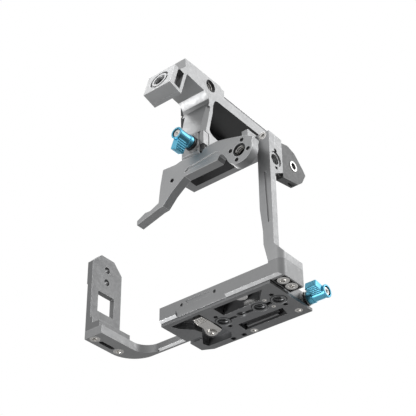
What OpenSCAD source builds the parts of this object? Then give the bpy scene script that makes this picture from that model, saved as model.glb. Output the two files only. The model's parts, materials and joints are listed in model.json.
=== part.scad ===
// Camera cage: base with bottom plate, grip wing, port side column, top frame, rail and top handle
// Origin: axis of the main tripod thread, on the underside of the bottom plate. +X towards the
// camera's port side, +Y towards the camera's back, +Z up. Millimetres.

/* [Bottom plate] */
// Thickness of the bottom plate
plate_t = 8; // [7:0.5:10]
// Left edge of the plate from the tripod axis
plate_left = 36; // [34:0.5:40]
// Distance of the plate's right edge from the last thread of the hole line
plate_edge = 8.2; // [8:0.1:9]
// Front edge of the plate from the tripod axis
plate_front = 20.5; // [20:0.5:24]
// Rear edge of the plate from the tripod axis
plate_back = 26; // [26:0.1:27]
// Thickness of the plate's rim under the frame's lug
rim_t = 2; // [1.6:0.1:2.2]
// Pitch of the hole line
hole_pitch = 15; // [15:0.1:15.6]
// Wall radius of a 3/8-16 thread
thread38_r = 3.97; // [3.9:0.01:4]
// Wall radius of a 1/4-20 thread
thread14_r = 2.55; // [2.5:0.01:2.6]
// Distance of a locating hole from its thread's axis
pin_offset = 7.7; // [7.4:0.1:8]
// Radius of a locating hole
pin_hole_r = 1.6; // [1.4:0.1:1.7]

/* [Base frame] */
// Height of the frame's underside above the plate's
frame_z = 2; // [1.8:0.1:3]
// Thickness of the deck under the camera
deck_t = 3; // [2.5:0.1:5]
// Thickness of the outer walls
wall_t = 1.7; // [1.4:0.1:1.8]
// Height of the lip above the deck
lip_h = 2.2; // [1:0.1:4]
// Width of the right wall block
block_w = 10.7; // [10.2:0.5:14.2]
// Depth of the right wall block along Y
block_depth = 23; // [21:0.5:26]
// Height of the right wall block's top
block_top = 14.5; // [14:0.5:16]
// Thickness of the rubber pad
pad_t = 1; // [0.6:0.1:2]

/* [Grip wing] */
// Outer side of the wing from the tripod axis
wing_left = 89.5; // [86:0.5:96]
// Front end of the wing from the tripod axis
wing_front = 37.8; // [36:0.2:42]
// Width of the wing's bar
wing_bar_w = 15.5; // [14:0.5:17]
// Thickness of the strap behind the grip
strap_t = 3.2; // [2.6:0.1:3.4]
// Height of the wing
wing_h = 6; // [5:0.1:6]
// Height of the side plate's top above the tripod plane
side_plate_top = 72; // [60:1:84]
// Thickness of the side plate
side_plate_t = 4.1; // [3:0.1:5]

/* [Port side] */
// Inset of the column's left side from the plate's right edge
column_inset = 4; // [3.2:0.1:4]
// Width of the column
column_w = 10; // [9.8:0.1:12]
// Thickness of the column
column_t = 5.5; // [5:0.1:6]
// Height of the column's top
column_top = 116.5; // [115:0.5:118]
// Height of the side thread's axis
side_hole_z = 96.2; // [95:0.2:97]
// Reach of the upper block behind the front face
block_reach = 14.5; // [14:0.5:17]

/* [Top frame] */
// Front face of the top frame from the tripod axis
bar_front = 38.5; // [37:0.5:42]
// Thickness of the front plate
bar_t = 7; // [6:0.5:8]
// Height of the top deck's upper face
top_z = 111; // [110.5:0.5:112]
// Thickness of the top deck
top_deck_t = 4.2; // [3.5:0.1:5]
// Radius of the round mounting face
disc_r = 10.8; // [10.4:0.2:12]
// Radius of the circle of locating slots
slot_circle_r = 7.6; // [7.4:0.1:8.2]

/* [Rail] */
// Height of the rail
rail_h = 6; // [5.5:0.1:7]
// Width of the rail across its edges
rail_w = 19; // [18:0.2:20]
// Length of the rail
rail_l = 38; // [36:0.5:42]

/* [Handle] */
// Width of the handle
handle_w = 24; // [22:0.5:28]
// Height of the beam's underside above the rail's top
finger_h = 49.7; // [48:0.1:54]
// Height of the beam at its front
beam_h = 16.8; // [16:0.1:20]
// Reach of the beam behind the rail's middle
beam_back = 65; // [60:0.5:80]
// Reach of the beam in front of the rail's middle
beam_fore = 35.2; // [34:0.2:36]
// Tilt of the front mount
mount_tilt = 15.7; // [14:0.1:17]
// Height of the front mount
mount_h = 20; // [19:0.5:24]
// Depth of the front mount
mount_d = 9.9; // [9:0.1:10]

/* [Lever knobs] */
// Radius of a lever's barrel
barrel_r = 4.7; // [4.4:0.1:5.2]
// Length of a lever's barrel
barrel_l = 14; // [13:0.5:16]
// Reach of a lever from its axis
lever_reach = 13; // [12.4:0.2:16]
// Width of a lever's arm
lever_w = 5.6; // [5:0.1:6.4]
// Radius of a clamp stud
stud_r = 2.4; // [2:0.1:2.5]

/* [Hidden] */
$fn = 48;

// Shared clearances and small sizes
over = 1;
fit_gap = 0.05;
run_gap = 0.08;
slide_gap = 0.12;
seat_gap = 0.1;
wall_gap = 0.3;
front_y = -22.5;
lens_x = 5;
bevel_c = 1.6;
csk_extra = 1.6;
socket_share = 0.52;
head_h_m3 = 2;
m3_r = 1.5;
m2_r = 1;

// Plate values
plate_right = 3 * hole_pitch + plate_edge;
rim_w = 5.2;
plate_main_right = plate_right - rim_w;
corner_x = 8;
corner_y = 4;
csk_h = 0.9;
insert_wall = 1.1;
insert_r = thread38_r + insert_wall;
boss_r = insert_r + insert_wall;
thread38_x = [0, 2 * hole_pitch, 3 * hole_pitch];
thread14_x = hole_pitch;
slot_x = [0.56 * hole_pitch, 1.44 * hole_pitch];
slot_l = 6;
slot_w = 2.6;
small_hole_pos = [[-0.1, 22.9], [-9, 22.9]];
small_hole_r = 1.9;
square_hole_w = 3.4;
square_hole_x = 2.5 * hole_pitch;
tiny_screw_dy = 5;
pocket_points = [[5.4, -17.4], [44.4, -16.9], [35.2, -6.9], [5.5, -6.6]];
key_pocket_points = [[5.2, 9.2], [40.8, 10.1], [38.6, 18.4], [4.7, 18.6]];
key_pocket_d = 5;
rib_x = 8;
rib_l = 25;
rib_y = 15.4;
rib_w = 1.6;
rib_drop = 0.7;
latch_pocket_points = [
    [-6, -17.6], [-31, -16.5], [-28.2, -10.6], [-21.4, -3.6], [-20, 2.4], [-29.7, 15.5],
    [-28.4, 20.3], [-8.9, 20.6], [-4.9, 15.4], [-5.6, -4.4]
];
latch_pocket_d = 5.3;
channel_gap = 0.25;
channel_end_x = -25;

// Frame values
deck_z = plate_t;
deck_top = deck_z + deck_t;
lip_top = deck_top + lip_h;
frame_left = -plate_left;
frame_back = plate_back + 0.2;
frame_right = plate_main_right + 0.2;
lip_t = 3;
block_gap = 0.6;
block_left = plate_right + block_gap;
block_right = block_left + block_w;
block_back = front_y + block_depth;
block_corner_r = 5;
mid_bevel_z = 4.8;
mid_bevel_x0 = -22;
mid_bevel_x1 = 19;
panel_x0 = -11.3;
panel_x1 = 5;
panel_z0 = 7.4;
panel_z1 = 10.8;
panel_d = 0.5;
panel_slant = 2.2;
front_hole_x = [-16.9, 10.8];
front_hole_z = 8.9;
front_hole_r = 1.3;
front_hole_d = 1.2;
lug_in = 11.4;
lug_x0 = plate_right - lug_in;
lug_y0 = 15.8;
foot_wall = 0.6;
foot_edge = 1.1;
foot_pocket = [block_left + foot_wall, -18.8, block_right - foot_edge, 0];
foot_pocket_d = 2.8;
foot_screw_in = 5.1;
foot_screw_pos = [[block_left + foot_screw_in, -13.9], [block_left + foot_screw_in, -4.9]];
foot_head_r = 4.1;
foot_shank_r = 1.9;
foot_head_h = 2.6;
foot_flange_t = 2;
plate_screw_in = 6.2;
plate_screw_pos = [[plate_right - plate_screw_in, 19.4], [8.6, 22.6]];
plate_head_r = 2.6;

// Camera screw and dowel values
cam_x = 24;
cam_y = -11.9;
cam_r = 3.1;
cam_head_r = 4.4;
cam_head_h = 3.4;
cam_reach = 5.5;
clip_r = 4.4;
clip_t = 0.7;
clip_gap = 0.15;
coin_slot_w = 1.4;
coin_slot_d = 1.5;
dowel_x = 24;
dowel_y = 8;
dowel_r = 1.5;
dowel_reach = 2.4;

// Latch values
latch_x = -16.2;
latch_y = 8.4;
latch_eye_r = 4.2;
latch_z0 = 1.2;
latch_t = 3.2;
latch_bore_r = 2.06;
latch_tab_points = [[-15.5, -12.6], [-8.2, -12.4], [-7.6, -4], [-8.4, 9.4], [-12, 11.4], [-19.6, 6.2], [-17, 0], [-17.6, -6]];
latch_ridge_y = -11.6;
latch_ridge_step = 1.7;
latch_ridge_w = 0.7;
latch_ridge_d = 0.5;
latch_ridge_x0 = -18.5;
latch_ridge_l = 9;
pivot_head_r = 3.3;
pivot_head_h = 0.9;
spring_t = 0.7;
spring_w = 1.2;
leg_l = 5;

// Hex key values
key_r = 1.55;
key_x0 = 7;
key_x1 = 36.6;
key_y = 12;
key_z = 2.1;
key_end_y = 14.2;
magnet_r = 2.4;
magnet_t = 1.6;
magnet_x = [13, 29];

// Knob values, shared by both knobs
collar_r0 = 5.5;
collar_r1 = 4.9;
collar_l = 1.8;
washer_r = 5.3;
washer_t = 0.7;
ring_r = 4.8;
ring_t = 1.2;
ring_hole_r = stud_r + fit_gap;
knob_base = collar_l + 2 * washer_t + ring_t;
arm_z0 = 1;
arm_l = 9.2;
arm_taper = 0.7;
arm_round = 1.4;
ridge_n = 4;
ridge_step = 2;
ridge_w = 0.9;
ridge_d = 0.5;
ridge_start = 5.6;
hub_bore_r = 3.4;
hub_bore_d = 2.6;
hub_head_r = 2.7;
hub_head_h = 1.9;
hub_shank_r = 1.4;
hub_shank_l = 5;
stud_tip = 1.2;

// Side knob values
side_y = 22;
side_z = 7.8;
side_base_x = frame_right + wall_t;
side_stud_l = 6.5;
plate_screw_top = [side_z - stud_r - 2 * wall_gap, deck_top - over];
side_lever_turn = -98;
clamp_lever_turn = -115;

// Grip wing values
wing_z0 = frame_z;
wing_top = wing_z0 + wing_h;
wing_corner_r = 19.8;
wing_inner_r = 12;
strap_y0 = 6.3;
tongue_end = -26;
wing_screw_x = [-33, -28.6];
wing_tip_r = 4;
grip_screw_y = [-33.6, -10.1];
grip_screw_x = 5.7;
grip_head_r = 3.7;
grip_head_h = 2.6;
grip_shank_r = 1.9;
grip_foot_t = 5;
strap_slot_w = 3.2;
strap_slot_l = 14;
strap_chamfer = 1.4;
side_plate_back = 8;
side_plate_slope = 8.4;
side_plate_step_z = 46;
side_plate_step = 0.7;
side_window_y0 = 31;
side_window_y1 = 15;
side_window_z0 = 26;
side_window_z1 = 42;
side_thread_y = -23;
side_thread_z = [52, 62];

// Column values
column_back = front_y + column_t;
column_x = plate_right - column_inset;
column_right = column_x + column_w;
column_kink_h = [13.5, 23.5, 41.5];
foot_top = 19.5;
foot_lean = 1.8;
foot_rise = 6.5;
column_screw_x = column_x + 4.8;
column_screw_z = column_top - 2.2;
column_screw_r = 3;
column_screw_l = 11;
groove_x0 = column_x + 4.7;
groove_x1 = column_x + 6.1;
groove_w = 2;
groove_z0 = 43.5;
groove_z1 = 83.9;
groove_d = 0.7;
upper_z0 = side_hole_z - 12.2;
upper_z1 = side_hole_z + 12;
upper_front = front_y + 6.5;
side_hole_y = front_y + 6.9;
side_csk_r = 5.8;
side_pin_dz = 7;
side_pin_d = 3;

// Side wing values, from the front face and the side thread's axis
wing_t = 6;
wing_back_points = [
    [block_reach + seat_gap, 17.8], [block_reach + 6.9, 19.6], [block_reach + 14.9, 17.5], [block_reach + 24.7, 8.6],
    [block_reach + 27.2, 5.4], [block_reach + 22.5, -3.2], [block_reach + 17.4, -7.6], [block_reach + seat_gap, -10.8]
];
wing_hole_y = front_y + block_reach + 12.7;
wing_hole_z = side_hole_z + 5.2;
wing_insert_r = 4;
wing_insert_bore = 2.55;
wing_insert_proud = 0.5;
wing_screw_z = [-7.4, 9.5];
wing_screw_y = front_y + block_reach + 3.4;
wing_screw_d = 4;

// Top frame values
bar_y = -bar_front;
bar_back = bar_y + bar_t;
rail_x0 = -12;
rail_y = -21;
top_deck_z = top_z - top_deck_t;
top_deck_back = -9;
disc_inset = 3.4;
disc_x = column_x - disc_inset;
bar_tip = 1.9;
bar_slope_in = 10.7;
deck_in = 11.2;
lug_inset = 5.2;
bar_panel_points = [[-1.7, -10.6], [25.4, -10.6], [29.4, -7.4], [26, -6], [2, -7.6]];
disc_z = top_z - 13.9;
disc_ear = 0.7;
neck_low = [-9.2, -18.2];
slot_turn = 17.5;
arm_drop = 36;
lug_left = column_x - lug_inset;
lug_back = -8;
lug_z0 = upper_z1 + seat_gap;
insert_l = 6.4;
bar_hole_x = -12.5;
bar_hole_drop = 12.3;
bar_hole_r = 1.7;
bar_panel_d = 0.6;

// Rail values, from its base
rail_foot_w = 14.4;
rail_top_w = 16;
rail_foot_h = 1.8;
rail_edge_z0 = 3.2;
rail_edge_z1 = 4.2;
rail_z = top_z;
rail_screw_x = [3.5, 34];
rail_head_r = 2.6;
pin_slot_d = 2.2;

// Handle values
handle_x = 2;
handle_half = handle_w / 2;
rail_top = rail_z + rail_h;
under_z = rail_top + finger_h;
beam_top = under_z + beam_h;
rear_beam_h = 8.8;
foot_z0 = rail_top + slide_gap;
clamp_z = rail_top + 4.5;
clamp_x = handle_x + 3.3;
foot_h = 14;
foot_top_z = rail_top + foot_h;
jaw_z0 = rail_z + 1.1;
jaw_lip_y = 7.75;
jaw_lip_z = 1.92;
jaw_wall_y = rail_w / 2 + slide_gap + 0.05;
jaw_wall_z = 3.08;
jaw_front = 15.8;
foot_front = 9.2;
rear_jaw_back = 14;
jaw_w = 16.2;
jaw_chamfer = 3;
strut_edge = 2.1;
strut_edge_h = finger_h - foot_h - 8;
cover_t = 2.2;
cover_points = [[-8.6, -16], [-5, -17], [29, -7.2], [50, -1.4], [50, 5.4], [-9, 5.4]];
cover_screw_pos = [[-7, -7], [2, 3], [40, 3]];
cover_head_r = 1.9;
cover_screw_r = 1;
strut_lean = -12;
insert_len = 7;
side_insert_y = -6.6;
side_insert_drop = 7;
side_step_y = 4;
rail_piece_h = 5.2;
rail_piece_w = 18;
rail_piece_y0 = 9;
rail_piece_over = 2;
rail_chamfer = 2.6;
rail_piece_screw_y = [20, 58];
pin_x = handle_x - 3;
pin_y = 4.6;
pin_r = 1.5;
button_r = 3;
button_h = 2.2;
pin_dip = 1.6;
pin_collar_r = 2.4;
pin_collar_h = 1.2;
pin_chamber_r = 2.7;
slide_back = 2;
slide_fore = 4.6;

// Front mount values
mount_reach = 51.7;
mount_drop = 15.4;
mount_y = rail_y - mount_reach;
mount_z = under_z - mount_drop;
flange_d = 4;
shelf_h = 2.6;
core_w = 14;
nose_t = 2.6;
nose_over = 1.5;
nose_gap = 0.4;
ring_groove_r0 = 6.4;
ring_groove_r1 = 7.9;
ring_groove_d = 1.2;
mount_csk_r = 4.8;
mount_screw_dx = 5.2;
mount_screw_dz = 5.8;
mount_head_r = 2.4;
mount_head_h = 1.5;
mount_screw_r = 1.25;
mount_screw_l = 7.5;

// Outline in the XZ plane, from y0 backwards by t
module xz_plate(points, y0, t) {
    translate([0, y0 + t, 0])
        rotate([90, 0, 0])
            linear_extrude(t)
                polygon(points);
}

// Outline in the YZ plane, from x0 to the right by t
module yz_plate(points, x0, t) {
    translate([x0, 0, 0])
        rotate([90, 0, 90])
            linear_extrude(t)
                polygon(points);
}

// Cylinder along X
module rod_x(r, l, pos) {
    translate(pos)
        rotate([0, 90, 0])
            cylinder(r = r, h = l);
}

// Cylinder along Y
module rod_y(r, l, pos) {
    translate(pos)
        rotate([-90, 0, 0])
            cylinder(r = r, h = l);
}

// Socket screw, head's outer face at the origin and shank along +Z
module socket_screw(head_r, head_h, shank_r, shank_l) {
    difference() {
        union() {
            cylinder(r = head_r, h = head_h);
            translate([0, 0, head_h - over / 10])
                cylinder(r = shank_r, h = shank_l + over / 10);
        }
        translate([0, 0, -over])
            cylinder(r = head_r * socket_share, h = over + head_h * socket_share, $fn = 6);
    }
}

// Room for a socket screw: counterbore and shank hole
module screw_room(head_r, head_h, shank_r, shank_l) {
    translate([0, 0, -over])
        cylinder(r = head_r + fit_gap, h = head_h + over);
    cylinder(r = shank_r + fit_gap, h = head_h + shank_l + fit_gap);
}

// Slot with round ends along X
module slot(l, w, h) {
    translate([-(l - w) / 2, -w / 2, 0])
        cube([l - w, w, h]);
    for (s = [-1, 1])
        translate([s * (l - w) / 2, 0, 0])
            cylinder(r = w / 2, h = h);
}

// Outline of the bottom plate
module plate_outline() {
    polygon([
        [-plate_left, -plate_front], [plate_right, -plate_front], [plate_right, plate_back],
        [-plate_left + corner_x, plate_back], [-plate_left, plate_back - corner_y]
    ]);
}

module bottom_plate() {
    color("dimgray")
    difference() {
        linear_extrude(plate_t)
            plate_outline();
        difference() {
            translate([plate_main_right, -plate_front - over, rim_t])
                cube([plate_right, plate_front + plate_back + 2 * over, plate_t]);
            translate([thread38_x[2], 0, 0])
                cylinder(r = boss_r, h = plate_t);
        }
        translate([lug_x0 - seat_gap, lug_y0 - seat_gap, rim_t])
            cube([plate_right, plate_back, plate_t]);
        for (x = thread38_x)
            translate([x, 0, -over]) {
                cylinder(r = insert_r + fit_gap, h = plate_t + 2 * over);
                cylinder(r1 = insert_r + csk_h + over, r2 = insert_r, h = csk_h + over);
            }
        translate([thread14_x, 0, -over]) {
            cylinder(r = thread14_r, h = plate_t + 2 * over);
            cylinder(r1 = thread14_r + csk_h + over, r2 = thread14_r, h = csk_h + over);
        }
        for (x = [thread38_x[0], thread38_x[2]], s = [-1, 1])
            translate([x, s * pin_offset, -over])
                cylinder(r = pin_hole_r, h = plate_t / 2 + over);
        for (x = slot_x)
            translate([x, 0, -over])
                linear_extrude(plate_t / 2 + over)
                    union() {
                        square([slot_l - slot_w, slot_w], center = true);
                        for (s = [-1, 1])
                            translate([s * (slot_l - slot_w) / 2, 0])
                                circle(r = slot_w / 2);
                    }
        translate([square_hole_x - square_hole_w / 2, -square_hole_w / 2, -over])
            cube([square_hole_w, square_hole_w, plate_t / 2 + over]);
        for (p = small_hole_pos)
            translate([p[0], p[1], -over])
                cylinder(r = small_hole_r, h = plate_t / 2 + over);
        for (s = [-1, 1])
            translate([square_hole_x, s * tiny_screw_dy, 0])
                screw_room(m3_r, m2_r, m2_r, plate_t);
        for (p = plate_screw_pos)
            translate([p[0], p[1], 0])
                screw_room(plate_head_r, rim_t / 2, m3_r, plate_t);
        translate([0, 0, -over])
            linear_extrude(plate_t + 2 * over)
                polygon(pocket_points);
        difference() {
            translate([0, 0, -over])
                linear_extrude(key_pocket_d + over)
                    polygon(key_pocket_points);
            translate([rib_x, rib_y, rib_drop])
                cube([rib_l, rib_w, plate_t]);
        }
        for (x = magnet_x)
            translate([x, key_y, key_z + key_r])
                cylinder(r = magnet_r + fit_gap, h = magnet_t + fit_gap + key_pocket_d - key_z - key_r);
        translate([0, 0, -over])
            linear_extrude(latch_pocket_d + over)
                polygon(latch_pocket_points);
        translate([latch_x, latch_y, 0])
            cylinder(r = m3_r + fit_gap, h = plate_t + over);
        translate([-plate_left - over, strap_y0 - channel_gap, -over])
            cube([plate_left + channel_end_x + over, strap_t + 2 * channel_gap, plate_t + 2 * over]);
    }
}

module tripod_inserts() {
    color("silver")
    for (x = thread38_x)
        translate([x, 0, 0])
            difference() {
                cylinder(r = insert_r, h = plate_t);
                translate([0, 0, -over])
                    cylinder(r = thread38_r, h = plate_t + 2 * over);
            }
}

// Outline of the right wall block with its rounded front corner
module block_outline() {
    difference() {
        translate([block_left, front_y])
            square([block_right - block_left, block_depth]);
        translate([block_right - block_corner_r, front_y])
            difference() {
                translate([0, -over])
                    square([block_corner_r + over, block_corner_r + over]);
                translate([0, block_corner_r])
                    circle(r = block_corner_r);
            }
    }
}

module base_frame() {
    color("gray")
    difference() {
        union() {
            translate([frame_left, front_y, deck_z])
                cube([block_left - frame_left + over, frame_back - front_y + wall_t, deck_t]);
            translate([frame_left, front_y, frame_z])
                cube([block_left - frame_left + over, wall_t, lip_top - frame_z]);
            translate([frame_left, front_y, deck_z])
                cube([block_left - frame_left + over, lip_t, lip_top - deck_z]);
            translate([frame_left, frame_back, frame_z + bevel_c])
                cube([frame_right - frame_left + wall_t, wall_t, lip_top - frame_z - bevel_c]);
            translate([frame_right, block_back, frame_z + seat_gap])
                cube([wall_t, frame_back + wall_t - block_back, lip_top - frame_z - seat_gap]);
            translate([lug_x0, lug_y0, rim_t + seat_gap])
                cube([frame_right + wall_t - lug_x0, frame_back + wall_t - lug_y0, deck_z - rim_t]);
            translate([0, 0, frame_z])
                linear_extrude(block_top - frame_z)
                    block_outline();
        }
        translate([frame_right + wall_t, block_back, deck_z - over])
            cube([block_right, plate_back + 2 * wall_t + over, block_top]);
        // Lower front bevel, larger in the middle
        yz_plate([[front_y - over, frame_z - over], [front_y + wall_t, frame_z - over],
                  [front_y + wall_t - over / 10, frame_z], [front_y, frame_z + bevel_c],
                  [front_y - over, frame_z + bevel_c]], frame_left - over, block_right - frame_left + 2 * over);
        yz_plate([[front_y - over, frame_z - over], [front_y + wall_t, frame_z - over],
                  [front_y + wall_t - over / 10, frame_z], [front_y, frame_z + mid_bevel_z],
                  [front_y - over, frame_z + mid_bevel_z]], mid_bevel_x0, mid_bevel_x1 - mid_bevel_x0);
        xz_plate([[panel_x0, panel_z0], [panel_x1, panel_z0], [panel_x1 + panel_slant, panel_z1],
                  [panel_x0 - panel_slant, panel_z1]], front_y - over, over + panel_d);
        for (x = front_hole_x)
            rod_y(front_hole_r, front_hole_d + over, [x, front_y - over, front_hole_z]);
        translate([foot_pocket[0], foot_pocket[1], frame_z - over])
            cube([foot_pocket[2] - foot_pocket[0], foot_pocket[3] - foot_pocket[1], foot_pocket_d + over]);
        for (p = foot_screw_pos)
            translate([p[0], p[1], frame_z])
                cylinder(r = foot_shank_r + fit_gap, h = block_top);
        translate([thread38_x[2], 0, 0])
            cylinder(r = boss_r + wall_gap, h = deck_z);
        for (i = [0, 1])
            translate([plate_screw_pos[i][0], plate_screw_pos[i][1], 0])
                cylinder(r = m3_r + fit_gap, h = plate_screw_top[i] + fit_gap);
        for (s = [-1, 1])
            translate([square_hole_x, s * tiny_screw_dy, 0])
                cylinder(r = m2_r + fit_gap, h = deck_top - over / 2);
        translate([latch_x, latch_y, 0])
            cylinder(r = m3_r + fit_gap, h = deck_top - over / 2);
        translate([cam_x, cam_y, 0])
            cylinder(r = cam_r + run_gap, h = block_top);
        translate([dowel_x, dowel_y, deck_z + deck_t / 3])
            cylinder(r = dowel_r, h = deck_t);
        for (x = wing_screw_x)
            translate([x, strap_y0 + strap_t / 2, 0]) {
                cylinder(r = m2_r + fit_gap, h = deck_top + over);
                translate([0, 0, deck_top - m3_r])
                    cylinder(r = m3_r + m2_r / 2 + fit_gap, h = m3_r + over);
            }
        rod_x(stud_r + run_gap, side_stud_l + wall_t + over, [side_base_x - side_stud_l, side_y, side_z]);
    }
}

module plate_screws() {
    color("silver") {
        for (i = [0, 1])
            translate([plate_screw_pos[i][0], plate_screw_pos[i][1], 0])
                socket_screw(plate_head_r, rim_t / 2, m3_r, plate_screw_top[i] - rim_t / 2);
        for (s = [-1, 1])
            translate([square_hole_x, s * tiny_screw_dy, 0])
                socket_screw(m3_r, m2_r, m2_r, deck_top - m2_r - over);
    }
}

module foot_screws() {
    color("silver")
    for (p = foot_screw_pos)
        translate([p[0], p[1], frame_z + foot_pocket_d - foot_head_h])
            socket_screw(foot_head_r, foot_head_h, foot_shank_r,
                         block_top + foot_flange_t - frame_z - foot_pocket_d - fit_gap);
}

module base_pad() {
    pad_x0 = frame_left + wall_t;
    pad_y0 = front_y + lip_t + seat_gap;
    color("#202225")
    difference() {
        translate([pad_x0, pad_y0, deck_top])
            cube([frame_right - pad_x0 - seat_gap, frame_back - pad_y0 - seat_gap, pad_t]);
        translate([cam_x, cam_y, deck_top - over])
            cylinder(r = clip_r + csk_extra / 2, h = pad_t + 2 * over);
        translate([dowel_x, dowel_y, deck_top - over])
            cylinder(r = dowel_r + seat_gap, h = pad_t + 2 * over);
        for (x = wing_screw_x)
            translate([x, strap_y0 + strap_t / 2, deck_top - over])
                cylinder(r = m3_r + m2_r, h = pad_t + 2 * over);
    }
}

module camera_screw() {
    color("silver")
    translate([cam_x, cam_y, deck_z - cam_head_h - seat_gap])
        difference() {
            union() {
                cylinder(r = cam_head_r, h = cam_head_h);
                cylinder(r = cam_r, h = cam_head_h + seat_gap + deck_t + pad_t + cam_reach);
            }
            translate([-cam_head_r - over, -coin_slot_w / 2, -over])
                cube([2 * (cam_head_r + over), coin_slot_w, coin_slot_d + over]);
        }
}

module camera_screw_clip() {
    color("silver")
    translate([cam_x, cam_y, deck_top + clip_gap])
        difference() {
            cylinder(r = clip_r, h = clip_t);
            translate([0, 0, -over])
                cylinder(r = cam_r, h = clip_t + 2 * over);
        }
}

module locating_dowel() {
    color("silver")
    translate([dowel_x, dowel_y, deck_z + deck_t / 3])
        cylinder(r = dowel_r, h = deck_t * 2 / 3 + pad_t + dowel_reach);
}

module latch_lever() {
    color("#b5a898")
    difference() {
        union() {
            translate([0, 0, latch_z0])
                linear_extrude(latch_t)
                    polygon(latch_tab_points);
            translate([latch_x, latch_y, latch_z0])
                cylinder(r = latch_eye_r, h = latch_t);
        }
        translate([latch_x, latch_y, 0])
            cylinder(r = latch_bore_r, h = plate_t);
        for (i = [0:3])
            translate([latch_ridge_x0, latch_ridge_y + i * latch_ridge_step, latch_z0 - over])
                cube([latch_ridge_l + over, latch_ridge_w, latch_ridge_d + over]);
    }
}

module latch_pivot() {
    color("silver")
    translate([latch_x, latch_y, latch_z0 - pivot_head_h - fit_gap])
        difference() {
            union() {
                cylinder(r = pivot_head_r, h = pivot_head_h);
                cylinder(r = latch_bore_r - run_gap, h = pivot_head_h + latch_t + 2 * fit_gap);
                cylinder(r = m3_r, h = deck_top - latch_z0 + pivot_head_h - over);
            }
            translate([0, 0, -over])
                cylinder(r = pivot_head_r * socket_share, h = over + pivot_head_h, $fn = 6);
        }
}

module latch_spring() {
    ring_r0 = latch_bore_r + fit_gap;
    color("silver")
    translate([latch_x, latch_y, latch_z0 + latch_t + fit_gap])
        union() {
            difference() {
                cylinder(r = ring_r0 + spring_w, h = spring_t);
                translate([0, 0, -over])
                    cylinder(r = ring_r0, h = spring_t + 2 * over);
            }
            translate([ring_r0, -spring_w / 2, 0])
                cube([leg_l, spring_w / 2, spring_t]);
        }
}

module hex_key() {
    color("#3a3d40") {
        rod_hex = key_r;
        union() {
            translate([key_x0, key_y, key_z])
                rotate([0, 90, 0])
                    cylinder(r = rod_hex, h = key_x1 - key_x0, $fn = 6);
            translate([key_x1 - key_r, key_y, key_z])
                rotate([-90, 0, 0])
                    cylinder(r = rod_hex, h = key_end_y - key_y, $fn = 6);
        }
    }
}

module key_magnets() {
    color("silver")
    for (x = magnet_x)
        translate([x, key_y, key_z + key_r + key_pocket_d - key_z - key_r])
            cylinder(r = magnet_r, h = magnet_t);
}

// Knob pieces, base plane at z = 0 and axis +Z
module knob_collar() {
    difference() {
        cylinder(r1 = collar_r0, r2 = collar_r1, h = collar_l);
        translate([0, 0, -over])
            cylinder(r = ring_hole_r, h = collar_l + 2 * over);
    }
}

module knob_washer(z) {
    translate([0, 0, z])
        difference() {
            cylinder(r = washer_r, h = washer_t);
            translate([0, 0, -over])
                cylinder(r = ring_hole_r, h = washer_t + 2 * over);
        }
}

module knob_washers() {
    knob_washer(collar_l);
    knob_washer(collar_l + washer_t + ring_t);
}

module knob_ring() {
    translate([0, 0, collar_l + washer_t])
        difference() {
            cylinder(r = ring_r, h = ring_t);
            translate([0, 0, -over])
                cylinder(r = ring_hole_r, h = ring_t + 2 * over);
        }
}

// Lever with barrel, arm along +X and grooves along the axis
module knob_lever() {
    translate([0, 0, knob_base + fit_gap])
        difference() {
            union() {
                cylinder(r = barrel_r, h = barrel_l);
                translate([0, 0, arm_z0])
                    linear_extrude(arm_l)
                        polygon([
                            [0, -lever_w / 2], [lever_reach - arm_round, -lever_w / 2 + arm_taper],
                            [lever_reach, -lever_w / 2 + arm_taper + arm_round],
                            [lever_reach, lever_w / 2 - arm_taper - arm_round],
                            [lever_reach - arm_round, lever_w / 2 - arm_taper], [0, lever_w / 2]
                        ]);
            }
            for (i = [0:ridge_n - 1], s = [-1, 1])
                translate([ridge_start + i * ridge_step, s * (lever_w / 2 + over / 2) - ridge_w / 2, arm_z0 - over])
                    cube([ridge_w, ridge_w + ridge_d, arm_l + 2 * over]);
            translate([0, 0, barrel_l - hub_bore_d])
                cylinder(r = hub_bore_r, h = hub_bore_d + over);
            translate([0, 0, -over])
                cylinder(r = ring_hole_r, h = over + barrel_l - hub_bore_d - hub_shank_l);
            cylinder(r = hub_shank_r, h = barrel_l);
        }
}

module knob_screw() {
    translate([0, 0, knob_base + fit_gap + barrel_l - hub_bore_d + hub_head_h])
        rotate([180, 0, 0])
            socket_screw(hub_head_r, hub_head_h, hub_shank_r, hub_shank_l - stud_tip);
}

// Stud from depth below the base plane into the barrel
module knob_stud(depth) {
    translate([0, 0, -depth])
        cylinder(r = stud_r, h = depth + knob_base + fit_gap + barrel_l - hub_bore_d - hub_shank_l);
}

module side_place() {
    translate([side_base_x, side_y, side_z])
        rotate([0, 90, 0])
            rotate([0, 0, side_lever_turn])
                children();
}

module side_collar() {
    color("silver")
    side_place()
        knob_collar();
}

module side_washers() {
    color("silver")
    side_place()
        knob_washers();
}

module side_ring() {
    color("#1c1d1f")
    side_place()
        knob_ring();
}

module side_stud() {
    color("silver")
    side_place()
        knob_stud(side_stud_l - over);
}

module side_lever() {
    color("deepskyblue")
    side_place()
        knob_lever();
}

module side_lever_screw() {
    color("silver")
    side_place()
        knob_screw();
}

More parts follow.
